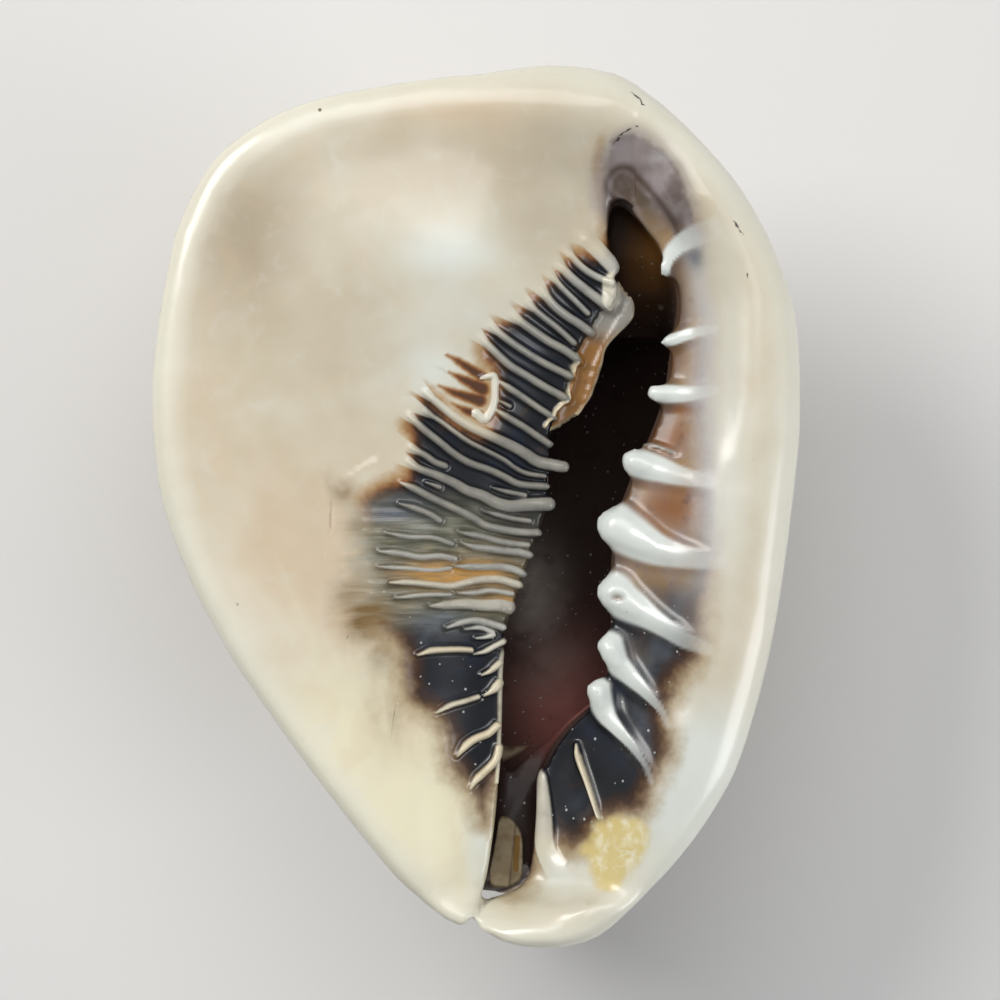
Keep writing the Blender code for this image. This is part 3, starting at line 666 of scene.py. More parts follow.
TEETH = (
    Tooth(((42.7, 53.2, 2.2, 0.9), (43.5, 56.6, 3.2, 1.6), (46.3, 59.7, 4.0, 1.3),
           (50.2, 61.6, 4.8, 0.5), (53.4, 62.6, 4.8, -0.3)), 3),
    Tooth(((42.7, 37.8, 2.6, 1.0), (45, 38.2, 2.5, 1.2), (48.4, 39.3, 2.3, 1.0),
           (54, 40.4, 1.8, 0.2)), 3),
    Tooth(((40, 25.9, 4.0, 1.7), (43.5, 25.7, 3.9, 1.8), (48.4, 25.7, 3.2, 1.3),
           (53.6, 26.4, 2.4, 0.3))),
    Tooth(((35.4, 10.4, 6.4, 2.0), (38, 9.6, 6.0, 2.2), (41.6, 8.5, 4.8, 1.9), (46.1, 7, 3.6, 1.3),
           (53, 5.5, 2.8, 0.3))),
    Tooth(((31.6, -4.2, 9.8, 2.4), (34, -5.9, 9.0, 2.8), (37.8, -8.2, 7.2, 2.5),
           (41.6, -10, 5.4, 2.0), (48.4, -11.8, 3.8, 1.3), (55, -12.6, 2.8, 0.3))),
    Tooth(((31.2, -19.4, 8.6, 2.2), (33.6, -21.6, 7.4, 2.5), (38.2, -24.6, 5.2, 2.0),
           (42.7, -27.5, 4.0, 1.7), (47.2, -30.2, 3.6, 1.3), (52, -32, 2.8, 0.3))),
    Tooth(((30.2, -31.6, 6.2, 1.9), (32, -35.6, 5.2, 2.2), (35, -38.8, 3.8, 1.7),
           (38.3, -42.2, 2.4, 1.2), (41.7, -46, 1.7, 0.8), (43.3, -49.4, 1.2, 0.3))),
    Tooth(((27.6, -41.8, 5.6, 1.7), (29.2, -47, 4.6, 2.0), (32.3, -51, 3.0, 1.4),
           (35.7, -54.9, 1.9, 1.0), (38.3, -58.8, 1.4, 0.7), (39.5, -62.2, 1.1, 0.3))),
)

# The edge of the dark stain round the mouth, clockwise from the top of the mouth
STAIN = ((29.2, 69.4), (28.5, 78.5), (30.7, 84.1), (37, 84.6), (45, 79), (49, 69.4), (51.2, 60.4),
         (52.5, 49), (54, 40), (53.6, 24.1), (54.2, 6), (54.2, -12.1), (52, -21.2), (50.6, -33.6),
         (45.8, -39.3), (43.2, -47.2), (44.2, -53), (43, -57.4), (39.6, -64.2), (38.2, -68.7),
         (34.8, -69.9), (28.5, -72.1), (26.2, -76.7), (22.3, -78.3), (17.8, -77.8), (14.6, -78.5),
         (12.4, -85), (7, -87), (7.5, -77), (5.8, -67), (5.1, -63.1), (2.8, -69.1), (1.9, -72.5),
         (1, -70.8), (-1.9, -64.8), (-6.2, -58.8), (-8.3, -49.5), (-14.4, -45), (-16.2, -41.6),
         (-17.3, -33), (-20, -29.5),
         (-23, -25), (-24.1, -16.6), (-25.3, -9.9), (-25.3, -3.1), (-26, 1.5), (-22, 4.6),
         (-16.4, 7.1), (-16.2, 11.7), (-15.1, 15.1), (-16.2, 18.5), (-13.6, 23.4), (-12.6, 26.6),
         (-8.3, 24), (-4.4, 19.6), (1.4, 17.4), (3.6, 20.6), (3.9, 30), (1.4, 33), (1.4, 38),
         (2.4, 40.6), (6.5, 42.2), (9.9, 45), (11.4, 46.8), (14.4, 48.6), (15.5, 50.6),
         (17.3, 52.6), (19.6, 55.2), (21.4, 57.2), (24.5, 58), (27.5, 58.5), (29.3, 62))


# Crests at these Y values and between them are this light
CREST_LIGHT = ((-70, 1.0), (-30, 1.0), (-24, 0.50), (-17, 0.70), (-8, 0.38), (0, 0.24), (12, 0.18),
               (20, 0.26), (30, 0.36), (42, 0.38), (50, 0.65), (60, 0.85))


@dataclass(frozen=True)
class Patch:
    """A soft patch of the face: its middle, its reach in X and Y, its strength."""

    x: float
    y: float
    reach_x: float
    reach_y: float
    strength: float = 1.0


def patches_at(patches: tuple[Patch, ...], x: np.ndarray, y: np.ndarray) -> np.ndarray:
    """The strongest of some soft patches at each place."""
    total = np.zeros(len(x))
    for patch in patches:
        reach = ((x - patch.x) / patch.reach_x) ** 2 + ((y - patch.y) / patch.reach_y) ** 2
        total = np.maximum(total, patch.strength * np.exp(-reach))
    return total


def ridge_profile(ridges: tuple[Ridge, ...], flat: np.ndarray) -> Profile:
    """Rise, gap and creaminess of some ridges at each place of the face.

    Args:
        ridges: The ridges. Each may spread out into the callus before its start.
        flat: X and Y of each place.

    Returns:
        The rise in millimetres, the distance to the side of the nearest crest, less than 0 on the
        crest, and the share of cream in that crest's colour.
    """
    rise = np.zeros(len(flat))
    gap = np.full(len(flat), 6.0)
    cream = np.zeros(len(flat))
    for ridge in ridges:
        line = smooth_line(ridge.line, 4)
        if ridge.spread:
            outwards = (line[0] - line[1]) / np.linalg.norm(line[0] - line[1])
            line = np.vstack((line[0] + np.outer((1.0, 0.5), outwards) * ridge.spread, line))
        length = np.linalg.norm(np.diff(line, axis=0), axis=1).sum()
        distance, along = nearest(flat, line)
        run = along * length - ridge.spread
        share = np.clip(run / (length - ridge.spread), 0, 1)
        half = (ridge.width + ((ridge.end_width or ridge.width) - ridge.width) * share) / 2
        flare = np.clip((2.5 - run) / (2.5 + ridge.spread), 0, 1) * (ridge.spread > 0)
        point = np.where(ridge.spread > 0, 1, 0.2 + 0.8 * np.clip(run / 3, 0, 1))
        edge = distance - half * point - 1.3 * flare
        taper = np.clip(run / 3 + 0.35, 0, 1)
        dome = np.cos(np.clip(distance / (half * 1.35), 0, 1) * math.pi / 2) ** 1.2
        rise = np.maximum(rise, ridge.height * taper * dome)
        cream = np.where(edge < gap, ridge.cream, cream)
        gap = np.minimum(gap, edge)
    return rise, gap, cream


# Soft patches of colour, by the name under which the finish reads them; a few are painted reflection
# and painted shade, as noted
TINTS = {
    "smoke": (Patch(38, -50, 7, 8, 0.4), Patch(44, -30, 10, 12, 0.5), Patch(26, -72, 8, 5, 0.4),
              Patch(-14, -28, 9, 4, 0.5), Patch(-10, -46, 5, 4, 0.35)),
    # Painted reflection: the dark stain turns lighter slate grey where its gloss reflects the room
    "stain_sheen": (Patch(44, -28, 16, 16, 0.5), Patch(40, -55, 10, 12, 0.4), Patch(-6, -24, 10, 4, 0.9),
             Patch(-14, 0, 12, 8, 0.8), Patch(-10, -46, 6, 4, 0.6)),
    "orange": (Patch(-4, -15.2, 13, 3.0, 1.4), Patch(6, -21, 7, 2.4, 0.9),
               Patch(8, -8, 5, 2, 0.35)),
    "rosy": (Patch(43, 16, 6, 5, 1.0), Patch(44, 0, 8, 6, 0.9), Patch(43, 33, 5, 3.5, 0.7),
             Patch(47, 22, 6, 1.5, 0.8), Patch(44, 46, 3, 6, 0.4), Patch(40, -4, 6, 8, 0.7)),
    "ochre": (Patch(-24, -25.5, 6, 5, 1.5), Patch(-28, -20, 5, 4, 0.8), Patch(-21, -33, 4, 5, 0.7),
              Patch(-30, 3.5, 3, 2.5, 0.8), Patch(-27, -4.5, 4, 2, 0.5), Patch(19, -78, 5, 3, 0.8),
              Patch(38, -50, 4, 4, 0.6), Patch(43, -36, 5, 3, 0.5), Patch(-20, -48, 4, 6, 0.5)),
    # The steel patch at (50, 56.5) is painted shade under the first tooth; the other two are blue-grey
    # bands of the wrinkled zone
    "steel": (Patch(-19, -1, 9, 3), Patch(-9, -26, 9, 3, 0.9), Patch(50, 56.5, 2.6, 2.6, 0.9)),
    "sandy": (Patch(48.5, 48.3, 2.6, 4.8), Patch(47, 30, 3, 3, 0.5), Patch(47, 15, 4, 3, 0.4)),
    # The beige patch at (-52, 60) is partly painted shade in the shallow groove inside the upper left
    # rim
    "beige": (Patch(-52, 60, 15, 20, 1.0), Patch(0, 78, 40, 12, 0.6), Patch(-30, 40, 26, 34, 0.35),
              Patch(15, 66, 14, 10, 0.5), Patch(10, 84, 22, 9, 0.5)),
    "peach": (Patch(-40, -10, 18, 16, 0.6), Patch(-30, -26, 10, 8, 0.6), Patch(62, -30, 8, 14, 0.25),
              Patch(-16, -50, 7, 9, 0.7), Patch(-62, 20, 10, 16, 0.25), Patch(-6, 90, 16, 5, 0.5)),
    "butter": (Patch(-12, -70, 22, 24, 1.0), Patch(-28, -52, 18, 18, 0.8)),
    # The milk patch at (50, -64) is partly painted light: it lightens the lower right of the lip, which
    # the lamps light less
    "milk": (Patch(-6, 57, 12, 7, 0.9), Patch(-10, 31, 8, 8, 0.8), Patch(-6, 45, 14, 10, 0.5),
             Patch(50, -64, 16, 18, 1.5), Patch(57, 20, 4, 50, 0.5), Patch(20, -84, 8, 5, 0.8),
             Patch(0.5, -78, 3, 12, 0.8)),
    "honey": (Patch(40, 58, 4.5, 10),),
    "shade": (Patch(30.6, 67.0, 1.8, 5.0, 0.9), Patch(34, 73.5, 3, 2.5, 0.5),
              Patch(45.5, 64.5, 1.8, 4.0, 0.6), Patch(37.5, 76.5, 3.5, 1.4, 0.5)),
    "wine": (Patch(22, -46, 12, 14),),
    "clay": (Patch(14, -22, 6, 12), Patch(18, -38, 8, 8, 0.4)),
}


class Value:
    """A number in a node tree that can be used in sums."""

    def __init__(self, tree: bpy.types.NodeTree, socket: bpy.types.NodeSocket) -> None:
        self.tree = tree
        self.socket = socket

    def _sum(self, operation: str, *others: "Value | float", swapped: bool = False) -> "Value":
        """Makes one Math node out of this value and others."""
        node = self.tree.nodes.new("ShaderNodeMath")
        node.operation = operation
        terms = (self, *others)
        if swapped:
            terms = terms[::-1]
        for place, term in enumerate(terms):
            if isinstance(term, Value):
                self.tree.links.new(term.socket, node.inputs[place])
            else:
                node.inputs[place].default_value = term
        return Value(self.tree, node.outputs[0])

    def __add__(self, other: "Value | float") -> "Value":
        return self._sum("ADD", other)

    __radd__ = __add__

    def __sub__(self, other: "Value | float") -> "Value":
        return self._sum("SUBTRACT", other)

    def __rsub__(self, other: float) -> "Value":
        return self._sum("SUBTRACT", other, swapped=True)

    def __mul__(self, other: "Value | float") -> "Value":
        return self._sum("MULTIPLY", other)

    __rmul__ = __mul__

    def __truediv__(self, other: "Value | float") -> "Value":
        return self._sum("DIVIDE", other)

    def __rtruediv__(self, other: float) -> "Value":
        return self._sum("DIVIDE", other, swapped=True)

    def __pow__(self, other: float) -> "Value":
        return self._sum("POWER", other)

    def __neg__(self) -> "Value":
        return self._sum("MULTIPLY", -1.0)

    def most(self, other: "Value | float") -> "Value":
        """The larger of two values."""
        return self._sum("MAXIMUM", other)

    def least(self, other: "Value | float") -> "Value":
        """The smaller of two values."""
        return self._sum("MINIMUM", other)

    def sine(self) -> "Value":
        """The sine of an angle."""
        return self._sum("SINE")

    def step(self, low: float, high: float) -> "Value":
        """A soft step from 0 at the low value to 1 at the high one."""
        node = self.tree.nodes.new("ShaderNodeMapRange")
        node.interpolation_type = "SMOOTHSTEP"
        self.tree.links.new(self.socket, node.inputs["Value"])
        node.inputs["From Min"].default_value = min(low, high)
        node.inputs["From Max"].default_value = max(low, high)
        node.inputs["To Min"].default_value = float(low > high)
        node.inputs["To Max"].default_value = float(low < high)
        return Value(self.tree, node.outputs["Result"])


class Paint:
    """A material that is painted with expressions."""

    # Finer noise than this can't be seen from a step away
    finest = 2.0

    def __init__(self, name: str) -> None:
        self.material = bpy.data.materials.new(name)
        self.material.use_nodes = True
        self.tree = self.material.node_tree
        self.shader = self.tree.nodes["Principled BSDF"]
        self.where = self.node("ShaderNodeTexCoord", {}, {}).outputs["Object"]

    def node(self, kind: str, settings: dict, values: dict) -> bpy.types.Node:
        """Makes a node from its type, its settings, and its socket values or links."""
        node = self.tree.nodes.new(kind)
        for name, setting in settings.items():
            setattr(node, name, setting)
        for name, value in values.items():
            socket = node.inputs[name]
            if isinstance(value, Value):
                self.tree.links.new(value.socket, socket)
            elif isinstance(value, bpy.types.NodeSocket):
                self.tree.links.new(value, socket)
            elif isinstance(value, tuple) and len(value) == 3 and socket.type == "RGBA":
                socket.default_value = (*value, 1)
            else:
                socket.default_value = value
        return node

    def stored(self, name: str) -> Value:
        """A number that the mesh stores for each vertex."""
        node = self.node("ShaderNodeAttribute", {"attribute_name": name}, {})
        return Value(self.tree, node.outputs["Fac"])

    def stretched(self, scale: tuple[float, float, float]) -> bpy.types.NodeSocket:
        """Object coordinates with each axis scaled."""
        node = self.node("ShaderNodeVectorMath", {"operation": "MULTIPLY"},
                         {0: self.where, 1: scale})
        return node.outputs["Vector"]

    def noise(self, size: float, detail: float = 3.0, where: bpy.types.NodeSocket | None = None,
              warp: float = 0.0) -> Value:
        """Noise about 0, with features of a size in millimetres."""
        node = self.node("ShaderNodeTexNoise", {},
                         {"Vector": where or self.where, "Scale": 1 / (size * MM),
                          "Detail": min(detail, self.finest), "Distortion": warp})
        return (Value(self.tree, node.outputs["Fac"]) - 0.5) * 2

    def cells(self, size: float, feature: str = "F1",
              where: bpy.types.NodeSocket | None = None) -> bpy.types.Node:
        """Cells of a size in millimetres."""
        return self.node("ShaderNodeTexVoronoi", {"feature": feature},
                         {"Vector": where or self.where, "Scale": 1 / (size * MM)})

    def along(self, lines: tuple[Points, ...], waver: float) -> Value:
        """Distance in millimetres to the nearest of some wavering lines on the face."""
        split = self.node("ShaderNodeSeparateXYZ", {}, {"Vector": self.where})
        x = Value(self.tree, split.outputs["X"]) / MM + waver * self.noise(1.8, 2)
        y = Value(self.tree, split.outputs["Y"]) / MM + waver * self.noise(1.5, 2)
        nearest_part = None
        parts = [part for line in lines for part in zip(line[:-1], line[1:])]
        for (x0, y0), (x1, y1) in parts:
            way_x, way_y = x1 - x0, y1 - y0
            length = math.hypot(way_x, way_y)
            share = ((x - x0) * way_x + (y - y0) * way_y) / length ** 2
            share = share.most(0.0).least(1.0)
            across = x - x0 - share * way_x
            up = y - y0 - share * way_y
            distance = (across * across + up * up) ** 0.5
            nearest_part = distance if nearest_part is None else nearest_part.least(distance)
        return nearest_part

    def mix(self, share: Value | float, first: bpy.types.NodeSocket | Colour,
            second: bpy.types.NodeSocket | Colour) -> bpy.types.NodeSocket:
        """A colour between two colours."""
        node = self.node("ShaderNodeMix", {"data_type": "RGBA"},
                         {0: share, 6: first, 7: second})
        return node.outputs[2]

    def set(self, name: str, value: object) -> None:
        """Gives one of the shader's sockets a value or a link."""
        socket = self.shader.inputs[name]
        if isinstance(value, Value):
            self.tree.links.new(value.socket, socket)
        elif isinstance(value, bpy.types.NodeSocket):
            self.tree.links.new(value, socket)
        else:
            socket.default_value = value


@dataclass(frozen=True)
class ShellFinish:
    """The colours of the shell: its callus, its stain, its teeth, its hollow and its back."""

    cream: Colour = (0.62, 0.54, 0.39)
    beige: Colour = (0.43, 0.35, 0.24)
    white: Colour = (0.76, 0.72, 0.59)
    milk: Colour = (0.74, 0.77, 0.71)
    peach: Colour = (0.68, 0.49, 0.31)
    butter: Colour = (0.90, 0.84, 0.60)
    pearl: Colour = (0.88, 0.87, 0.74)
    yellow: Colour = (0.72, 0.58, 0.23)
    amber: Colour = (0.40, 0.22, 0.065)
    dull_amber: Colour = (0.42, 0.31, 0.17)
    rust: Colour = (0.25, 0.090, 0.022)
    dull_rust: Colour = (0.17, 0.095, 0.045)
    umber: Colour = (0.050, 0.021, 0.010)
    night: Colour = (0.006, 0.007, 0.010)
    ink: Colour = (0.006, 0.011, 0.026)
    # Lighter grey of the painted reflection on the dark stain
    slate: Colour = (0.022, 0.025, 0.033)
    orange: Colour = (0.50, 0.27, 0.075)
    olive: Colour = (0.13, 0.125, 0.080)
    moss: Colour = (0.045, 0.045, 0.030)
    mist: Colour = (0.28, 0.29, 0.245)
    straw: Colour = (0.38, 0.33, 0.21)
    lilac: Colour = (0.27, 0.22, 0.20)
    mauve: Colour = (0.56, 0.54, 0.53)
    plum: Colour = (0.36, 0.31, 0.31)
    tan: Colour = (0.36, 0.24, 0.13)
    shade_bone: Colour = (0.13, 0.125, 0.11)
    bone: Colour = (0.58, 0.58, 0.53)
    enamel: Colour = (0.76, 0.80, 0.76)
    ivory: Colour = (0.74, 0.64, 0.44)
    hollow: Colour = (0.075, 0.045, 0.036)
    wine: Colour = (0.42, 0.14, 0.12)
    clay: Colour = (0.70, 0.61, 0.54)
    ochre: Colour = (0.20, 0.12, 0.04)
    # Blue-grey of the stain, also used for painted shade under the first tooth
    steel: Colour = (0.15, 0.17, 0.20)
    pitch: Colour = (0.030, 0.014, 0.010)
    fawn: Colour = (0.10, 0.070, 0.048)
    honey: Colour = (0.34, 0.15, 0.03)
    ledge_brown: Colour = (0.30, 0.14, 0.035)
    ledge_grey: Colour = (0.32, 0.30, 0.26)
    sand: Colour = (0.55, 0.42, 0.27)
    bark: Colour = (0.20, 0.10, 0.045)
    chalk: Colour = (0.64, 0.58, 0.47)
    # Pale specks in the stain and the hollow: partly dust, partly painted glints
    dust_and_glint: Colour = (0.55, 0.56, 0.55)
    soot: Colour = (0.020, 0.018, 0.016)
    # Fine black cracks near the rim
    cracks: tuple[Points, ...] = (((31.2, 82.0), (32.5, 83.8), (34.3, 85.3), (36.3, 85.8)),
                                  ((35.0, 93.6), (36.5, 92.1), (37.8, 90.8)),
                                  ((57.9, 64.2), (59.2, 62.6), (60.1, 61.4)),
                                  ((61.0, 52.3), (61.3, 51.9)))
    roughness: float = 0.34
    coat: float = 0.5
    coat_roughness: float = 0.17

    def material(self) -> bpy.types.Material:
        """Paints the shell."""
        paint = Paint("shell")
        stain = paint.stored("stain")
        gap = paint.stored("gap") + 0.06 * paint.noise(0.9, 2)
        tooth = paint.stored("tooth")
        deep = paint.stored("deep")
        back = paint.stored("back")
        clean = self._callus(paint)
        colour = self._stained(paint, clean, stain, gap)
        colour = self._crests(paint, colour, clean, gap)
        blotch = paint.stored("yellow") + 1.8 * paint.noise(5, 4)
        vein = paint.noise(6, 4, warp=1.2)
        pale = paint.mix(paint.noise(3, 4).step(-0.1, 0.6), self.yellow, self.butter)
        veined = (vein * vein).step(0.006, 0.0) * paint.noise(8, 2).step(0.0, 0.4)
        pale = paint.mix(veined * 0.5, pale, self.pearl)
        colour = paint.mix(blotch.step(-1.4, 1.4) * 0.9, colour, pale)
        colour = paint.mix(deep.step(2.5, 8.0) * (1 - tooth), colour, self._inside(paint, deep))
        colour = self._ledge(paint, colour)
        enamel = paint.mix(paint.noise(4, 3).step(0.1, 0.9) * 0.4, self.enamel, self.mauve)
        enamel = paint.mix(paint.stored("pit") * 0.8, enamel, self.bark)
        colour = paint.mix(tooth * (1 - deep.step(6.0, 10.0)), colour, enamel)
        colour = self._chip(paint, colour)
        colour = paint.mix(paint.stored("nodule") * 0.9, colour, self.white)
        colour = paint.mix(back, colour, self._back(paint))
        colour = self._specks(paint, colour, stain)
        paint.set("Base Color", colour)
        dull = deep.step(8.0, 16.0).most(back)
        matt = dull.most(0.7 * stain.step(0.5, 3.0) * (1 - tooth))
        paint.set("Roughness", self.roughness + 0.08 * paint.noise(9, 3) + 0.28 * dull)
        paint.set("Coat Weight", self.coat * (1 - 0.8 * matt))
        paint.set("Coat Roughness", self.coat_roughness)
        paint.set("IOR", 1.5)
        self._relief(paint, back)
        return paint.material

    def _callus(self, paint: Paint) -> bpy.types.NodeSocket:
        """The clean callus of the shield and the lip."""
        broad = paint.noise(38, 3, warp=0.6)
        small = paint.noise(9, 4)
        colour = paint.mix((0.5 * broad + 0.25 * small).step(-0.35, 0.45), self.cream, self.white)
        # Beige, partly painted shade in the groove inside the upper left rim
        colour = paint.mix(paint.stored("beige"), colour, self.beige)
        colour = paint.mix(paint.stored("peach"), colour, self.peach)
        colour = paint.mix(paint.stored("butter"), colour, self.butter)
        # Milk, partly painted light on the lower right of the lip
        colour = paint.mix(paint.stored("milk"), colour, self.milk)
        colour = paint.mix(paint.noise(14, 4, warp=1.2).step(0.05, 0.6) * 0.22, colour, self.peach)
        colour = paint.mix(paint.noise(6, 5, warp=0.8).step(0.1, 0.7) * 0.20, colour, self.milk)
        return paint.mix(paint.stored("rim"), colour, self.pearl)

    def _stained(self, paint: Paint, clean: bpy.types.NodeSocket, stain: Value,
                 gap: Value) -> bpy.types.NodeSocket:
        """The stain between the ridges and teeth, from its yellow fringe to its dark middle, with
        painted reflection on the middle and painted shade at the roll's foot.
        """
        low = paint.stored("low")
        ragged = stain + (1.0 + 0.8 * low) * paint.noise(3.4, 3) + 0.5 * paint.noise(1.1, 2)
        ragged = ragged * (1 - 0.35 * low)
        # Painted reflection: a share of lighter slate grey on the dark stain, standing in for its gloss
        # reflection
        stain_sheen = paint.noise(5, 3).step(0.0, 0.8) * 0.4 + paint.stored("stain_sheen")
        dark = paint.mix(stain_sheen.least(1.0), self.night, self.slate)
        dark = paint.mix(paint.noise(8, 4).step(0.0, 0.5) * 0.8, dark, self.ink)
        dark = paint.mix(paint.noise(5, 4, warp=0.6).step(0.2, 0.7) * 0.6, dark, self.umber)
        smoke = paint.stored("smoke") * paint.noise(6, 4, warp=0.5).step(-0.5, 0.5)
        dark = paint.mix(smoke, dark, self.steel)
        ochre = paint.stored("ochre") * (0.8 + 0.6 * paint.noise(3, 4))
        colour = paint.mix(ochre.least(1.0), clean, self.ochre)
        amber = paint.mix(low, self.amber, self.dull_amber)
        rust = paint.mix(low, self.rust, self.dull_rust)
        fringe = paint.stored("fringe")
        colour = paint.mix(ragged.step(-3.2, 0.0) * 0.8 * fringe, colour, amber)
        colour = paint.mix(ragged.step(-0.9, 1.2) * 0.9 * fringe, colour, rust)
        colour = paint.mix(ragged.step(0.5, 2.4), colour, self.umber)
        colour = paint.mix(ragged.step(1.6, 4.2), colour, dark)
        colour = paint.mix(paint.stored("wrinkled"), colour,
                           self._faded(paint, clean, stain, gap))
        colour = paint.mix(paint.stored("veiled"), colour, self._veil(paint, clean, ragged))
        arch = paint.mix(paint.noise(9, 2, warp=0.4).step(-0.35, 0.45), self.plum, self.lilac)
        arch = paint.mix(paint.noise(7, 2, warp=0.5).step(0.0, 0.6) * 0.55, arch, self.umber)
        arch = paint.mix(paint.noise(6, 3).step(0.05, 0.6) * 0.6, arch, self.mauve)
        arched = paint.stored("arch")
        arched = arched + 0.3 * paint.noise(7, 3) * arched.step(0.0, 0.4)
        colour = paint.mix(arched.least(1.0).most(0.0), colour, arch)
        colour = paint.mix(paint.stored("shade") * (0.9 + 0.4 * paint.noise(3, 3)), colour,
                           self.umber)
        roll = paint.mix(paint.stored("roll_end"), self.fawn, self.tan)
        roll = paint.mix(paint.noise(3.5, 3).step(-0.2, 0.7) * 0.5, roll, self.plum)
        # Painted shade: a dark band in the crease round the foot of the roll
        colour = paint.mix(paint.stored("roll_crease_shade") * 0.75, colour, self.umber)
        return paint.mix(paint.stored("roll") * 0.95, colour, roll)

    def _faded(self, paint: Paint, clean: bpy.types.NodeSocket, stain: Value,
               gap: Value) -> bpy.types.NodeSocket:
        """The pale wrinkled zone, banded in grey, slate blue and orange."""
        bands = paint.noise(4, 3, paint.stretched((0.30, 2.2, 1.0)), 0.4)
        threads = paint.noise(1.6, 3, paint.stretched((0.18, 2.0, 1.0)), 0.3)
        pale = paint.mix(paint.noise(9, 3).step(-0.3, 0.4), self.mist, self.straw)
        colour = paint.mix((bands + 0.5 * threads).step(-0.45, 0.40), self.olive, pale)
        colour = paint.mix(paint.stored("steel") * (0.8 + 0.8 * bands), colour, self.steel)
        colour = paint.mix(gap.step(2.2, 0.5) * 0.6, colour, self.moss)
        colour = paint.mix(threads.step(0.10, 0.50) * 0.45, colour, self.moss)
        glow = paint.stored("orange") * (0.7 + 0.9 * bands + 0.4 * threads)
        colour = paint.mix(glow.least(1.0), colour, self.orange)
        shown = stain + 3.0 * paint.noise(8, 3) + 3.0 * bands
        colour = paint.mix(shown.step(-7.0, 5.0), clean, colour)
        smear = paint.stored("ochre") * (0.8 + 0.6 * bands)
        return paint.mix(smear.least(1.0), colour, self.ochre)

    def _veil(self, paint: Paint, clean: bpy.types.NodeSocket,
              ragged: Value) -> bpy.types.NodeSocket:
        """The thin reddish stain between the upper teeth of the lip, with painted shade under the first
        tooth.
        """
        colour = paint.mix(paint.noise(7, 3).step(-0.3, 0.6), self.tan, self.plum)
        colour = paint.mix(paint.stored("sandy"), colour, self.sand)
        colour = paint.mix(paint.stored("rosy"), colour, self.rust)
        colour = paint.mix(paint.noise(3.5, 4).step(0.1, 0.7) * 0.5, colour, self.umber)
        colour = paint.mix(ragged.step(0.0, 8.0), self.mauve, colour)
        # Blue-grey bands, and painted shade under the first tooth
        colour = paint.mix(paint.stored("steel"), colour, self.steel)
        colour = paint.mix(paint.stored("shore") * 0.6, colour, self.umber)
        return paint.mix(ragged.step(-3.0, 3.0), clean, colour)

    def _crests(self, paint: Paint, colour: bpy.types.NodeSocket, clean: bpy.types.NodeSocket,
                gap: Value) -> bpy.types.NodeSocket:
        """The pale crests of the ridges, which run out into the callus."""
        crest = paint.mix(paint.stored("light"), self.shade_bone, self.bone)
        crest = paint.mix(paint.stored("cream"), crest, self.ivory)
        crest = paint.mix(paint.noise(4, 3).step(0.0, 0.8) * 0.4, crest, self.dull_rust)
        spent = paint.stored("stain").step(-0.5, 4.5) * (0.9 + 0.3 * paint.noise(4, 2))
        crest = paint.mix(spent, clean, crest)
        shown = gap.step(0.30, -0.25) * (1 - paint.stored("deep").step(5.0, 8.0))
        return paint.mix(shown, colour, crest)

    def _inside(self, paint: Paint, deep: Value) -> bpy.types.NodeSocket:
        """The hollow behind the mouth and the walls that lead to it."""
        far = deep.step(10.0, 18.0)
        inner = paint.mix(paint.stored("wine") * far, self.hollow, self.wine)
        inner = paint.mix(paint.stored("clay") * far * (0.8 + 0.4 * paint.noise(6, 3)), inner,
                          self.clay)
        inner = paint.mix(paint.noise(5, 4).step(0.1, 0.7) * 0.5, inner, self.pitch)
        inner = paint.mix(paint.stored("gullet"), inner, self.pitch)
        return paint.mix(paint.stored("honey") * deep.step(3.0, 6.0), inner, self.honey)

    def _ledge(self, paint: Paint, colour: bpy.types.NodeSocket) -> bpy.types.NodeSocket:
        """The ledge under the ends of the upper ridges."""
        ledge = paint.stored("ledge")
        top = paint.mix(paint.stored("ledge_grey"), self.ledge_brown, self.ledge_grey)
        top = paint.mix(paint.noise(3, 3).step(0.1, 0.7) * 0.6, top, self.umber)
        top = paint.mix(ledge.step(1.0, 0.3) * 0.8, top, self.ivory)
        return paint.mix(ledge.step(-0.2, 0.1), colour, top)

    def _chip(self, paint: Paint, colour: bpy.types.NodeSocket) -> bpy.types.NodeSocket:
        """The old chip in the shield: brown streaks beside a white rim."""
        streak = paint.stored("streak") + 0.25 * paint.noise(1.6, 3)
        colour = paint.mix(streak.step(0.7, -0.1) * 0.8, colour, self.amber)
        colour = paint.mix(streak.step(0.2, -0.4), colour, self.rust)
        colour = paint.mix(streak.step(-0.2, -0.8) * 0.8, colour, self.umber)
        return paint.mix(paint.stored("chip").step(0.25, -0.2), colour, self.white)

    def _back(self, paint: Paint) -> bpy.types.NodeSocket:
        """The outside of the whorls and the underside of the plate."""
        colour = paint.mix(paint.noise(16, 5, warp=1.0).step(-0.25, 0.35), self.chalk, self.sand)
        blots = paint.noise(11, 4, paint.stretched((1.0, 1.9, 1.0)), 1.4).step(0.08, 0.34)
        colour = paint.mix(blots * paint.stored("whorl") * 0.8, colour, self.bark)
        return paint.mix(paint.stored("bars") * 0.85, colour, self.bark)

    def _specks(self, paint: Paint, colour: bpy.types.NodeSocket,
                stain: Value) -> bpy.types.NodeSocket:
        """Pinholes, round scars, pale specks in the stain and the hollow that are partly dust and
        partly painted glints, and fine black cracks.
        """
        colour = self._dots(paint, colour, self.umber, 15.0, 0.45, 0.032, 0.85)
        colour = self._dots(paint, colour, self.mist, 13.0, 0.78, 0.060, 0.6)
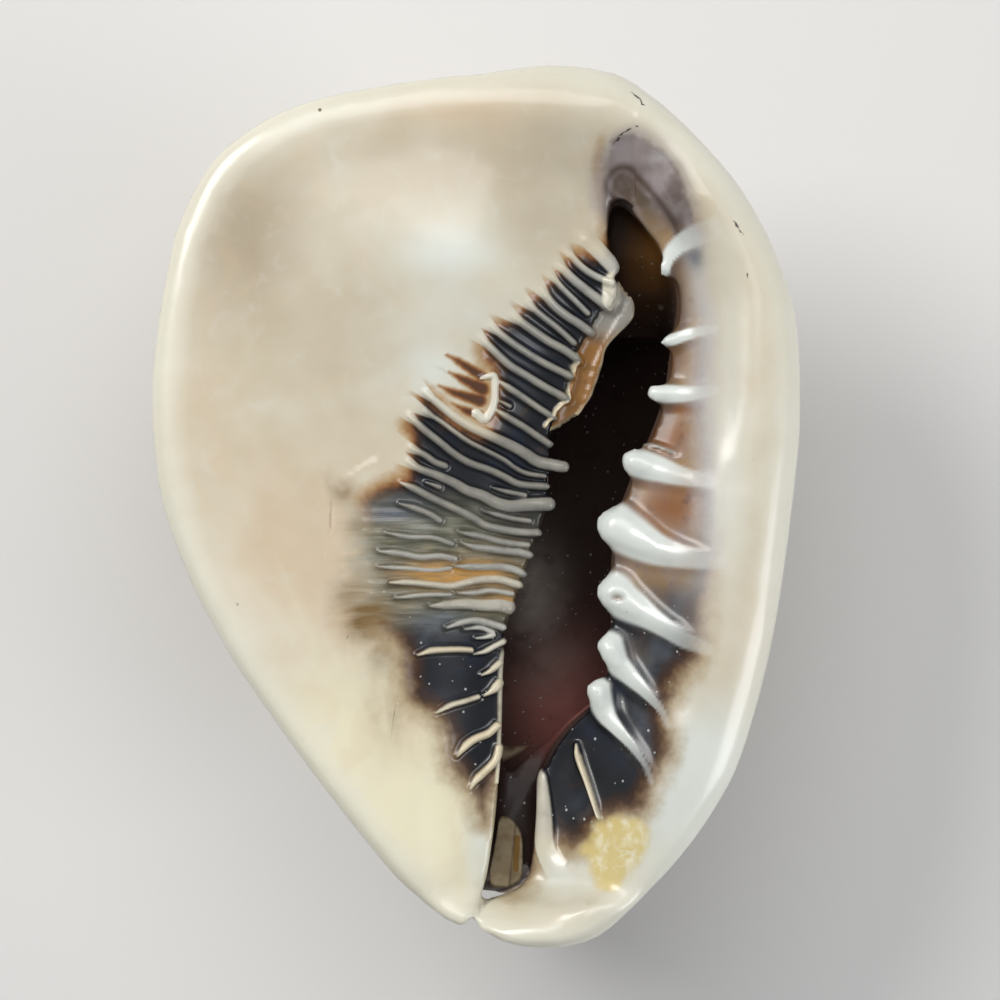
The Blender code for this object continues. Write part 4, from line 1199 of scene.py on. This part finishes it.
        # Pale specks: partly dust, partly painted glints on the glossy stain
        dust_and_glint_share = (stain.step(1.0, 3.0) * paint.stored("low")).most(paint.stored("deep").step(8, 14))
        colour = self._dots(paint, colour, self.dust_and_glint, 2.3, 0.30, 0.17, dust_and_glint_share * 0.8)
        crack = paint.along(self.cracks, 0.7)
        broken = paint.noise(1.3, 3).step(-0.25, 0.15)
        shown = crack.step(0.30, 0.12) * broken * (1 - paint.stored("back"))
        return paint.mix(shown * 0.9, colour, self.soot)

    def _dots(self, paint: Paint, colour: bpy.types.NodeSocket, dot: Colour, apart: float,
              rarity: float, radius: float, share: Value | float) -> bpy.types.NodeSocket:
        """Small round dots.

        Args:
            paint: The material.
            colour: The colour under the dots.
            dot: The colour of the dots.
            apart: Their mean distance in millimetres.
            rarity: Share of the places that stay empty.
            radius: Their radius as a share of that distance.
            share: How much of the dots' colour shows.

        Returns:
            The dotted colour.
        """
        cells = paint.cells(apart)
        reach = Value(paint.tree, cells.outputs["Distance"])
        split = paint.node("ShaderNodeSeparateColor", {}, {"Color": cells.outputs["Color"]})
        chosen = Value(paint.tree, split.outputs[0]).step(rarity, rarity + 0.04)
        size = Value(paint.tree, split.outputs[1]) * 0.6 + 0.5
        edge = (reach / size).step(radius, radius * 0.6)
        return paint.mix(edge * chosen * share, colour, dot)

    def _relief(self, paint: Paint, back: Value) -> None:
        """Fine relief: wrinkles across the ridges, and the netted sculpture of the back."""
        fine = paint.noise(12, 3) * 0.10
        along = paint.noise(2.2, 2, paint.stretched((1.0, 4.0, 1.0))) * 0.10
        across = paint.noise(2.6, 2, paint.stretched((3.0, 0.7, 3.0))) * 0.10
        threads = paint.noise(1.4, 3, paint.stretched((0.25, 2.0, 1.0))) * 0.10
        wrinkled = paint.stored("wrinkled") * paint.stored("stain").step(-1.0, 4.0)
        height = fine + back * (along + across) + wrinkled * threads
        bump = paint.node("ShaderNodeBump", {}, {"Height": height, "Strength": 1.0,
                                                 "Distance": MM})
        paint.set("Normal", bump.outputs["Normal"])


@dataclass(frozen=True)
class PaperFinish:
    """Old tan paper with a brown stripe."""

    tan: Colour = (0.50, 0.40, 0.25)
    worn: Colour = (0.36, 0.27, 0.15)
    stripe: Colour = (0.36, 0.20, 0.05)
    line: Colour = (0.06, 0.04, 0.02)
    roughness: float = 0.75

    def material(self) -> bpy.types.Material:
        """Paints the paper."""
        paint = Paint("old_paper")
        colour = paint.mix(paint.noise(3, 4).step(-0.3, 0.5), self.tan, self.worn)
        worn = paint.stored("stripe") + 0.12 * paint.noise(0.8, 3)
        colour = paint.mix(worn.step(0.45, 0.62), colour, self.stripe)
        edge = paint.stored("edge") + 0.06 * paint.noise(1.2, 2)
        colour = paint.mix(edge.step(0.90, 0.98) * 0.8, colour, self.line)
        colour = paint.mix(paint.stored("crease") * 0.6, colour, self.line)
        paint.set("Base Color", colour)
        paint.set("Roughness", self.roughness)
        bump = paint.node("ShaderNodeBump", {}, {"Height": paint.noise(0.5, 3) * 0.04,
                                                 "Strength": 1.0, "Distance": MM})
        paint.set("Normal", bump.outputs["Normal"])
        return paint.material


@dataclass(frozen=True)
class Site:
    """Where each vertex lies.

    Attributes are the places and normals, the depth below the face, X of both edges of the mouth,
    the depth inside the stain, the turn back from the lip, the depth inside the whorl's surface and
    the parts of the shell that the vertex is on.
    """

    places: np.ndarray
    normals: np.ndarray
    below: np.ndarray
    left: np.ndarray
    right: np.ndarray
    stain: np.ndarray
    turn: np.ndarray
    depth: np.ndarray
    in_mouth: np.ndarray
    inner: np.ndarray
    on_face: np.ndarray
    on_shield: np.ndarray
    on_lip: np.ndarray

    @property
    def flat(self) -> np.ndarray:
        """X and Y."""
        return self.places[:, :2]

    @property
    def x(self) -> np.ndarray:
        """X."""
        return self.places[:, 0]

    @property
    def y(self) -> np.ndarray:
        """Y."""
        return self.places[:, 1]

    @property
    def wrinkled(self) -> np.ndarray:
        """The share of the pale wrinkled zone beside the middle of the mouth."""
        return step_up(self.y, -30, -24) * (1 - step_up(self.y, -6, 6)) * (1 - step_up(self.x, 16, 20))


@dataclass
class HelmetShell:
    """The shell, grown as one piece."""

    coil: Coil = Coil()
    mouth: Mouth = Mouth()
    plate: Plate = Plate()
    finish: ShellFinish = ShellFinish()
    first_voxel: float = 1.5
    voxel: float = 1.2
    triangles: int = 190_000
    carve: float = 0.75
    sunk: float = 0.6
    canal_tube: Points = ((5, -46, 70, 20), (6, -62, 76, 18), (6, -74, 77, 15.5), (3, -79, 66, 12.5),
                          (-4, -78.5, 53, 10.5), (-11, -73, 41, 8.5))
    canal_groove: Points = ((2.5, -97, 86, 4.4), (2.5, -93.5, 75, 4.6), (0, -91.5, 64, 4.4),
                            (-6, -89, 51, 4.2), (-13, -83, 38, 4.0))
    # The ledge under the ends of the upper ridges: outer edge, then back inside the wall
    ledge: Points = ((31, 52.5), (34.7, 49.4), (36.6, 46.1), (35.6, 42.2), (32.4, 39.2),
                     (29.8, 36), (29, 32.3), (28, 29), (26.2, 24.6), (23.4, 20.8), (19.5, 18),
                     (15, 17), (16, 24), (19, 32), (24, 42), (28, 51))
    ledge_heights: tuple[float, float] = (94.2, 97.2)
    nodule: Points = ((30.9, 49.3, 99.9), (2.2, 4.0, 2.4))
    # A pit in the head of one tooth
    pit: Patch = Patch(31.9, -20.8, 1.3, 0.8)
    chip_zone: Patch = Patch(-3.0, 26.5, 8.0, 10.0)
    # The pale yellow blotch near the canal
    blotch: Points = ((27.2, -71.7), (34, -70.4), (39.1, -74.2), (37.4, -80.2), (34, -82.8),
                      (31.4, -86.6), (28, -87.1), (25.5, -81.1), (23.7, -78.5), (25.5, -75.9))
    arch: Points = ((30.6, 70), (31, 76.4), (34, 80.6), (37.8, 80.6), (42, 76), (45, 69),
                    (46.5, 62))
    roll: Points = ((33.0, 73.0, 99.2, 1.7), (36.4, 69.4, 99.1, 2.6), (40.2, 64.6, 98.9, 2.9),
                    (43.2, 59.8, 98.4, 2.2))
    # Knobs at the ends of two ridges, over the edge of the mouth
    knobs: tuple[Points, ...] = (((15, 10, 99.3, 0.9), (17.5, 9.4, 99.5, 1.1), (19.4, 9.1, 99.5, 1.4)),
                                 ((12.5, 0.9, 99.2, 0.9), (14.8, 0.7, 99.4, 1.3),
                                  (16.4, 0.5, 99.2, 1.6)))

    def build(self) -> bpy.types.Object:
        """Makes the mesh with its relief and what the finish reads from it."""
        shell = join([self.coil.outer_form(), self.plate.callus_form(), self.plate.form(),
                      tube("canal", self.canal_tube)], "helmet")
        even_out(shell, self.first_voxel, 2)
        for form in (self.coil.hollow_form(), self.mouth.opening_form(),
                     tube("groove", self.canal_groove, 12, 4)):
            combine(shell, form, Solid.CUT)
        shell = join([shell, *self._added_forms()], "helmet")
        even_out(shell, self.voxel, 4)
        self._lower_face(shell)
        self._spend_faces_where_seen(shell)
        self._carve(shell)
        shell.data.shade_smooth()
        return shell

    def dress(self, shell: bpy.types.Object) -> None:
        """Gives the shell its finish and its place in the record."""
        shell.data.materials.clear()
        shell.data.materials.append(self.finish.material())
        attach(shell, "root")
        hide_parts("shell")

    def _added_forms(self) -> list[bpy.types.Object]:
        """Teeth, ledge, nodule and roll, before the face is lowered."""
        forms = [self._tooth(f"tooth_{index}", tooth) for index, tooth in enumerate(TEETH)]
        outline = smooth_line(self.ledge, 3, closed=True)
        forms.append(loft("ledge", [np.column_stack((outline, np.full(len(outline), height)))
                                    for height in self.ledge_heights]))
        forms.append(ball("nodule", *self.nodule))
        forms.append(tube("roll", self.roll))
        forms.extend(tube("knob", knob, 16) for knob in self.knobs)
        return forms

    def _tooth(self, name: str, tooth: Tooth) -> bpy.types.Object:
        """One tooth, from deep on the wall of the mouth over its edge to its root."""
        rows = []
        for x, y, width, height in tooth.stations:
            rows.append((x, y, self.mouth.shield_top + height - width / 2 * 0.8, width / 2))
        x, y, height, radius = rows[0]
        rows.insert(0, (x + 0.6, y, height - tooth.drop, radius * 0.8))
        return tube(name, tuple(rows), 16, 5, 0.8)

    def _lower_face(self, shell: bpy.types.Object) -> None:
        """Lowers the face towards the mouth's edges."""
        places = places_of(shell)
        share = np.interp(places[:, 2], self.mouth.face_root, (0, 1))
        places[:, 2] -= share * self.mouth.dish(places[:, 0], places[:, 1])
        move_vertices(shell, places)

    def _below_face(self, places: np.ndarray) -> np.ndarray:
        """How far each place lies below the face."""
        return self.mouth.height(places[:, 0], places[:, 1]) - places[:, 2]

    def _by_chip(self, places: np.ndarray) -> np.ndarray:
        """Whether each place is by the old chip in the shield."""
        zone = self.chip_zone
        reach = np.hypot((places[:, 0] - zone.x) / zone.reach_x, (places[:, 1] - zone.y) / zone.reach_y)
        return (reach < 1) & (self._below_face(places) < 4)

    def _on_ledge(self, places: np.ndarray) -> np.ndarray:
        """Whether each place is on the ledge's top or its edge over the mouth."""
        inside = depth_inside(places[:, :2], smooth_line(self.ledge, 2, closed=True))
        below = self._below_face(places)
        edge = self.mouth.across(self.mouth.columellar_edge, places[:, 1])
        return (inside > -1.2) & (below > 1.5) & (below < 9) & (places[:, 0] > edge + 0.5)

    def _in_ridge_zone(self, places: np.ndarray) -> np.ndarray:
        """Whether each place is by a ridge of the shield or the lip, or by the chip."""
        x, y = places[:, :2].T
        below = self._below_face(places)
        inside = depth_inside(places[:, :2], smooth_line(STAIN, 2, closed=True)) > -0.6
        on_shield = (x < self.mouth.across(self.mouth.columellar_edge, y) + 2.1) & (y > -70)
        on_lip = (x > self.mouth.across(self.mouth.lip_edge, y) - 2) & (x < 33) & (y < -50)
        ridged = (on_shield & (below < 4.6)) | (on_lip & (below < 8))
        return (inside & ridged) | self._by_chip(places)

    def _in_face_zone(self, places: np.ndarray) -> np.ndarray:
        """Whether each place is on the stained face, the ledge or a tooth, or by the chip."""
        inside = depth_inside(places[:, :2], smooth_line(STAIN, 2, closed=True))
        margin = np.where(np.abs(places[:, 1] + 12) < 24, 8, 4)
        face = (inside > -margin) & (self._below_face(places) < 9) & (places[:, 1] > -92)
        return face | self._by_chip(places)

    def _spend_faces_where_seen(self, shell: bpy.types.Object) -> None:
        """Thins the mesh away from the mouth and refines it at the ridges and teeth."""
        places = places_of(shell)
        zone = self._in_face_zone(places)
        group = shell.vertex_groups.new(name="away_from_mouth")
        group.add(np.flatnonzero(~zone).tolist(), 1.0, "REPLACE")
        ridged = self._in_ridge_zone(places)
        added = int(ridged.sum()) * 30 + int((zone & ~ridged).sum()) * 6
        thin = shell.modifiers.new("Fewer faces", "DECIMATE")
        thin.vertex_group = group.name
        thin.ratio = (self.triangles - added) / (2 * len(shell.data.polygons))
        log.info("faces %d, share kept %.3f", len(shell.data.polygons), thin.ratio)
        apply_modifiers(shell)
        shell.vertex_groups.clear()
        self._refine(shell, self._in_face_zone)
        self._refine(shell, self._in_ridge_zone)
        sheet = bmesh.new()
        sheet.from_mesh(shell.data)
        soften(sheet, self._on_ledge, 10)
        sheet.to_mesh(shell.data)
        sheet.free()

    def _refine(self, shell: bpy.types.Object,
                chosen: Callable[[np.ndarray], np.ndarray]) -> None:
        """Splits the edges of a part of the mesh in two and softens them."""
        sheet = bmesh.new()
        sheet.from_mesh(shell.data)
        spots = np.array([corner.co for corner in sheet.verts]) / MM
        picked = chosen(spots)
        edges = [edge for edge in sheet.edges
                 if picked[edge.verts[0].index] and picked[edge.verts[1].index]]
        bmesh.ops.subdivide_edges(sheet, edges=edges, cuts=1, use_grid_fill=True)
        sheet.verts.index_update()
        soften(sheet, chosen, 3)
        sheet.to_mesh(shell.data)
        sheet.free()

    def _site(self, shell: bpy.types.Object) -> Site:
        """Finds out where each vertex lies."""
        places = places_of(shell)
        normals = normals_of(shell)
        x, y, z = places.T
        below = self._below_face(places)
        turn, radius = self.coil.turn_and_radius(places)
        left = self.mouth.across(self.mouth.columellar_edge, y)
        right = self.mouth.across(self.mouth.lip_edge, y)
        stain = np.clip(depth_inside(places[:, :2], smooth_line(STAIN, 3, closed=True)), -12, 12)
        outer = self.coil.radius(turn, y, 0)
        between = (x > left - 0.5) & (x < right + 1) & (y > -92)
        to_groove, _ = nearest(places, smooth_line(self.canal_groove, 4)[:, :3])
        on_face = (below < 6) & (normals[:, 2] > -0.5) & (stain > -6)
        return Site(places, normals, below, left, right, stain, turn, outer - radius,
                    in_mouth=(between & (z > 60) & (below < 34)) | ((to_groove < 5) & (below > 5)),
                    inner=(radius < outer - 3) & (below > 4),
                    on_face=on_face,
                    on_shield=on_face & (x < left + 4.5) & (below < 5),
                    on_lip=on_face & (x > right - 3))

    def _carve(self, shell: bpy.types.Object) -> None:
        """Raises the ridges, carves the grooves between them and stores what the finish reads."""
        site = self._site(shell)
        marks = {"ridge": ridge_profile(RIDGES, site.flat),
                 "flake": ridge_profile((FLAKE_CREST,), site.flat),
                 "chip": ridge_profile((CHIP_RIM,), site.flat),
                 "streak": ridge_profile(CHIP_STREAKS, site.flat),
                 "lip": ridge_profile(LIP_RIDGES, site.flat)}
        tooth, foot = self._teeth_at(site)
        rise = self._rise_of_ridges(site, marks, foot) + self._rise_of_skin(site)
        rise -= tooth * patches_at((self.pit,), site.x, site.y)
        low, high = (np.array(corner) / MM for corner in size_before)
        places = site.places + site.normals * rise[:, None]
        move_vertices(shell, np.clip(places, low + EDGE_ROOM, high - EDGE_ROOM))
        self._store_marks(shell, site, marks)
        self._store_zones(shell, site)
        store(shell, "tooth", tooth)
        for name, patches in TINTS.items():
            store(shell, name, patches_at(patches, site.x, site.y))

    def _rise_of_ridges(self, site: Site, marks: dict[str, Profile], foot: np.ndarray) -> np.ndarray:
        """How far the ridges stand out and the grooves lie below the callus."""
        rise, gap, _ = marks["ridge"]
        floor = self.carve * step_up(site.stain, -0.5, 3.0) * (1 - 0.4 * site.wrinkled)
        crests = np.maximum(rise, np.maximum(marks["flake"][0], marks["chip"][0]))
        stretched = site.flat * (0.30, 2.0)
        crease = ripple(stretched, 5, 9, SEED + 3) * step_up(site.stain, -3, 2)
        on_shield = crests - floor * step_up(gap, -0.3, 1.0) + 0.12 * site.wrinkled * crease
        rise, gap, _ = marks["lip"]
        on_lip = rise - self.sunk * step_up(site.stain, 0, 5) * step_up(gap, -0.3, 1.0) * (1 - foot)
        return np.where(site.on_shield, on_shield, 0) + np.where(site.on_lip, on_lip, 0)

    def _rise_of_skin(self, site: Site) -> np.ndarray:
        """The spiral cords of the whorls and the soft waves of the callus."""
        outside = ~site.inner & ~site.in_mouth & (site.normals[:, 2] < 0.35) & (site.below > 3)
        cords = (0.22 * np.sin(site.y * TAU / 5.2 + 0.3 * np.sin(site.turn * 3))
                 + 0.10 * ripple(site.places, 9, 8, SEED))
        whorl = step_up(site.depth + 4, 0, 3) * (site.places[:, 2] < 84)
        waves = (0.22 * ripple(site.places, 34, 7, SEED + 1)
                 + 0.06 * ripple(site.places, 11, 9, SEED + 2))
        clear = (site.below < 3) & (site.stain < 2) & ~site.on_shield & (site.normals[:, 2] > 0.5)
        return (np.where(outside, whorl * cords, 0)
                + np.where(clear, waves * step_up(-site.stain, -2, 4), 0))

    def _store_marks(self, shell: bpy.types.Object, site: Site, marks: dict[str, Profile]) -> None:
        """Stores where the ridges, the flake and the chip are."""
        away = np.full(len(site.x), 6.0)
        on_top = (site.below < 5) & (site.normals[:, 2] > 0.2)
        _, gap, cream = marks["ridge"]
        _, flake_gap, _ = marks["flake"]
        _, lip_gap, lip_cream = marks["lip"]
        _, chip_gap, _ = marks["chip"]
        _, streak, _ = marks["streak"]
        heights = np.array(CREST_LIGHT)
        store(shell, "gap", np.where(site.on_shield, np.minimum(gap, flake_gap),
                                     np.where(site.on_lip, lip_gap, away)))
        store(shell, "cream", np.where(site.on_lip, lip_cream, np.where(flake_gap < gap, 1, cream)))
        store(shell, "light", np.interp(site.y, heights[:, 0], heights[:, 1]))
        store(shell, "chip", np.where(on_top, chip_gap, away))
        store(shell, "streak", np.where(on_top & (chip_gap > 0), streak, away))

    def _store_zones(self, shell: bpy.types.Object, site: Site) -> None:
        """Stores where the stain, the ledge, the arch and the other zones of colour are."""
        x, y, z = site.places.T
        inner = site.inner | site.in_mouth
        back_side = step_up(-site.normals[:, 2], -0.15, 0.35)
        back = np.where(inner, 0, np.maximum(back_side, step_up(site.below, 9, 16)))
        store(shell, "stain", site.stain)
        store(shell, "back", back)
        store(shell, "deep", np.where(inner | (site.on_face & (site.stain > 0)),
                                      np.clip(site.below, 0, 60), 0))
        ledge = depth_inside(site.flat, smooth_line(self.ledge, 4, closed=True))
        on_ledge = (site.below > 1.5) & (site.below < 7.5) & (x > site.left + 0.2)
        store(shell, "ledge", np.where(on_ledge, ledge, -6))
        store(shell, "ledge_grey", step_up(y, 36, 42))
        (nodule_x, nodule_y, _), (wide, long, _) = self.nodule
        reach = np.hypot((x - nodule_x) / (wide + 0.4), (y - nodule_y) / (long + 0.4))
        store(shell, "nodule", (1 - step_up(reach, 0.85, 1.05)) * (site.below < 3.5))
        store(shell, "pit", patches_at((self.pit,), x, y))
        store(shell, "whorl", step_up(site.depth + 6, 0, 6))
        store(shell, "low", step_up(-y, 14, 24))
        towards_mouth = step_up(x, -2, 10) * step_up(y, -14, -7)
        store(shell, "wrinkled", site.wrinkled * (1 - 0.7 * towards_mouth))
        lip_side = step_up(x - (site.left + site.right) / 2, -2, 2)
        fading = y + 5 * ripple(site.flat, 16, 7, SEED + 4)
        store(shell, "veiled", lip_side * step_up(fading, -34, -6) * (1 - step_up(y, 58, 66)))
        store(shell, "shore", lip_side * (1 - step_up(x - site.right, 0.5, 5.0)))
        ring, _ = nearest(site.flat, smooth_line(self.arch, 4))
        at_end = step_up(site.stain, -0.5, 2.5) * step_up(y, 60, 67)
        store(shell, "arch", np.maximum((1 - step_up(ring, 1.0, 7.0)) * 0.85, at_end))
        store(shell, "fringe", 1 - step_up(y, 60, 68) * step_up(x, 27, 30))
        roll, _ = nearest(site.flat, smooth_line(self.roll, 4)[:, :2])
        store(shell, "roll", (1 - step_up(roll, 1.4, 3.2)) * (site.below < 5))
        store(shell, "roll_end", 1 - step_up(y, 58, 72))
        # Painted shade: a dark band in the crease round the foot of the roll
        store(shell, "roll_crease_shade", np.exp(-((roll - 3.4) / 0.9) ** 2) * (site.below < 5))
        store(shell, "gullet", site.in_mouth * np.maximum(step_up(y, 46, 54),
                                                          0.8 * step_up(-y, 54, 64)))
        store(shell, "yellow", depth_inside(site.flat, smooth_line(self.blotch, 3, closed=True)))
        rim_distance, _ = nearest(site.flat, smooth_line(self.plate.rim, 3, closed=True))
        store(shell, "rim", 0.6 * (1 - step_up(rim_distance, 2, 9)) * (1 - back))
        bars = step_up(np.sin((y + 8) * TAU / 24), 0.25, 0.6) * step_up(x, 44, 54) * back
        store(shell, "bars", bars * step_up(z, 70, 80))

    def _teeth_at(self, site: Site) -> tuple[np.ndarray, np.ndarray]:
        """How much of each place belongs to a tooth of the lip, and to the foot of one."""
        share = np.zeros(len(site.x))
        foot = np.zeros(len(site.x))
        for tooth in TEETH:
            line = smooth_line(tooth.stations, 4)
            distance, along = nearest(site.flat, line[:, :2])
            width = np.interp(along, np.linspace(0, 1, len(line)), line[:, 2])
            close = 1 - step_up(distance / width, 0.40, 0.62)
            fading = 1 - step_up(along, 0.35, 1.0) * 0.75
            share = np.maximum(share, close * fading)
            foot = np.maximum(foot, 1 - step_up((distance - width / 2) / 2.2, 0, 1))
        near_face = site.below < 9
        return share * near_face, foot * near_face


@dataclass
class PaperSlip:
    """The slip of paper that lies in the canal."""

    outline: Points = ((5.2, -72.4), (6.8, -71.9), (8.8, -73.2), (10.4, -76.6), (10.6, -82.5),
                       (10.2, -86.2), (8.6, -87.8), (6, -88.6), (3.4, -88.2), (2.8, -85.5),
                       (3.8, -80), (4.6, -75.5))
    thickness: float = 0.3
    middle: tuple[float, float, float] = (7.0, -80.5, 74.85)
    slope: float = 0.15
    curl: float = 0.35
    rings: int = 14
    finish: PaperFinish = PaperFinish()

    def build(self) -> bpy.types.Object:
        """Makes the slip with its curl and creases."""
        edge = smooth_line(self.outline, 8, closed=True)
        centre = np.array(self.middle[:2])
        shares = np.linspace(0.02, 1, self.rings)
        sheet = np.vstack([centre + (edge - centre) * share for share in shares])
        x, y = (sheet - centre).T
        crease = np.exp(-((x - 1.2 - 0.10 * y) / 0.25) ** 2)
        height = (self.middle[2] + self.slope * x + self.curl * np.clip(x / 3, 0, 1) ** 2
                  - 0.16 * crease + 0.05 * ripple(sheet, 5, 6, SEED))
        top = np.column_stack((sheet, height + self.thickness))
        bottom = np.column_stack((sheet, height))
        size = len(edge)
        faces = []
        for ring in range(self.rings - 1):
            for corner in range(size):
                after = (corner + 1) % size
                a, b = ring * size + corner, ring * size + after
                faces.append((a, b, b + size, a + size))
        count = len(top)
        under = [tuple(corner + count for corner in face[::-1]) for face in faces]
        last = (self.rings - 1) * size
        wall = [(last + corner, last + (corner + 1) % size, count + last + (corner + 1) % size,
                 count + last + corner) for corner in range(size)]
        caps = [tuple(range(size)), tuple(count + corner for corner in range(size))]
        slip = make_object("paper_label", np.vstack((top, bottom)), faces + under + wall + caps)
        share = np.tile(np.repeat(shares, size), 2)
        stripe = 1 - step_up(np.abs(x - 2.1 - 0.04 * y), 0.5, 0.9)
        stripe *= step_up(y, -5, -3.5) * (1 - step_up(y, 3.5, 5))
        store(slip, "edge", share)
        store(slip, "stripe", np.tile(stripe, 2))
        store(slip, "crease", np.tile(crease, 2))
        slip.data.shade_smooth()
        slip.data.set_sharp_from_angle(angle=math.radians(50))
        return slip

    def dress(self, slip: bpy.types.Object) -> None:
        """Gives the slip its finish and its place in the record."""
        slip.data.materials.append(self.finish.material())
        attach(slip, "root")
        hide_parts("paper_label")


@dataclass(frozen=True)
class Lamp:
    """A soft round light: where it is, how wide it is, its power and colour."""

    name: str
    place: tuple[float, float, float]
    width: float
    power: float
    colour: Colour = (1.0, 1.0, 1.0)


@dataclass
class Studio:
    """The pale floor, the lights and the camera."""

    aim: tuple[float, float, float] = (0.0053, 0.0015, 0.0975)
    distance: float = 0.9
    frame_width: float = 0.2265
    sensor: float = 36.0
    floor_size: float = 3.0
    floor_colour: Colour = (0.80, 0.79, 0.77)
    floor_roughness: float = 0.8
    world_colour: Colour = (0.90, 0.94, 1.0)
    world_strength: float = 0.22
    # The hollow is dark, so light needn't be followed far in it
    bounces: int = 3
    glossy_bounces: int = 2
    lamps: tuple[Lamp, ...] = (
        Lamp("key", (-0.55, 0.45, 0.85), 0.50, 6.8, (1.0, 0.98, 0.95)),
        Lamp("fill", (0.90, -0.35, 0.42), 0.60, 4.4, (0.95, 0.97, 1.0)),
        Lamp("top", (0.05, 0.42, 0.95), 0.60, 2.6, (1.0, 1.0, 1.0)),
    )

    def build(self) -> None:
        """Sets up the floor, the lights and the camera."""
        self._floor()
        for lamp in self.lamps:
            self._light(lamp)
        scene = bpy.context.scene
        scene.view_settings.view_transform = "Standard"
        scene.cycles.max_bounces = self.bounces
        scene.cycles.diffuse_bounces = self.bounces
        scene.cycles.glossy_bounces = self.glossy_bounces
        world = bpy.data.worlds.new("studio")
        world.use_nodes = True
        sky = world.node_tree.nodes["Background"]
        sky.inputs["Color"].default_value = (*self.world_colour, 1)
        sky.inputs["Strength"].default_value = self.world_strength
        scene.world = world
        self._camera()

    def _floor(self) -> None:
        """A plain floor that isn't part of the object."""
        half = self.floor_size / 2
        mesh = bpy.data.meshes.new("floor")
        mesh.from_pydata([(-half, -half, 0), (half, -half, 0), (half, half, 0), (-half, half, 0)],
                         [], [(0, 1, 2, 3)])
        floor = bpy.data.objects.new("floor", mesh)
        bpy.context.scene.collection.objects.link(floor)
        paint = Paint("floor")
        paint.set("Base Color", (*self.floor_colour, 1))
        paint.set("Roughness", self.floor_roughness)
        mesh.materials.append(paint.material)

    def _light(self, lamp: Lamp) -> None:
        """One soft light that shines at the shell."""
        data = bpy.data.lights.new(lamp.name, "AREA")
        data.shape = "DISK"
        data.size = lamp.width
        data.energy = lamp.power
        data.color = lamp.colour
        light = bpy.data.objects.new(lamp.name, data)
        bpy.context.scene.collection.objects.link(light)
        light.location = lamp.place
        towards = light.location - Vector(self.aim)
        light.rotation_euler = towards.to_track_quat("Z", "Y").to_euler()

    def _camera(self) -> None:
        """The camera, straight above the mouth with the spire up."""
        data = bpy.data.cameras.new("camera")
        data.sensor_width = self.sensor
        data.lens = self.sensor * self.distance / self.frame_width
        camera = bpy.data.objects.new("camera", data)
        bpy.context.scene.collection.objects.link(camera)
        x, y, height = self.aim
        camera.location = (x, y, height + self.distance)
        bpy.context.scene.camera = camera


def main() -> None:
    """Builds the shell, the slip and the studio."""
    logging.basicConfig(level=logging.INFO, format="%(message)s")
    helmet = HelmetShell()
    shell = helmet.build()
    helmet.dress(shell)
    log.info("shell: %d faces", len(shell.data.polygons))
    paper = PaperSlip()
    slip = paper.build()
    paper.dress(slip)
    log.info("paper_label: %d faces", len(slip.data.polygons))
    Studio().build()
    bpy.context.view_layer.update()


if __name__ == "__main__":
    main()
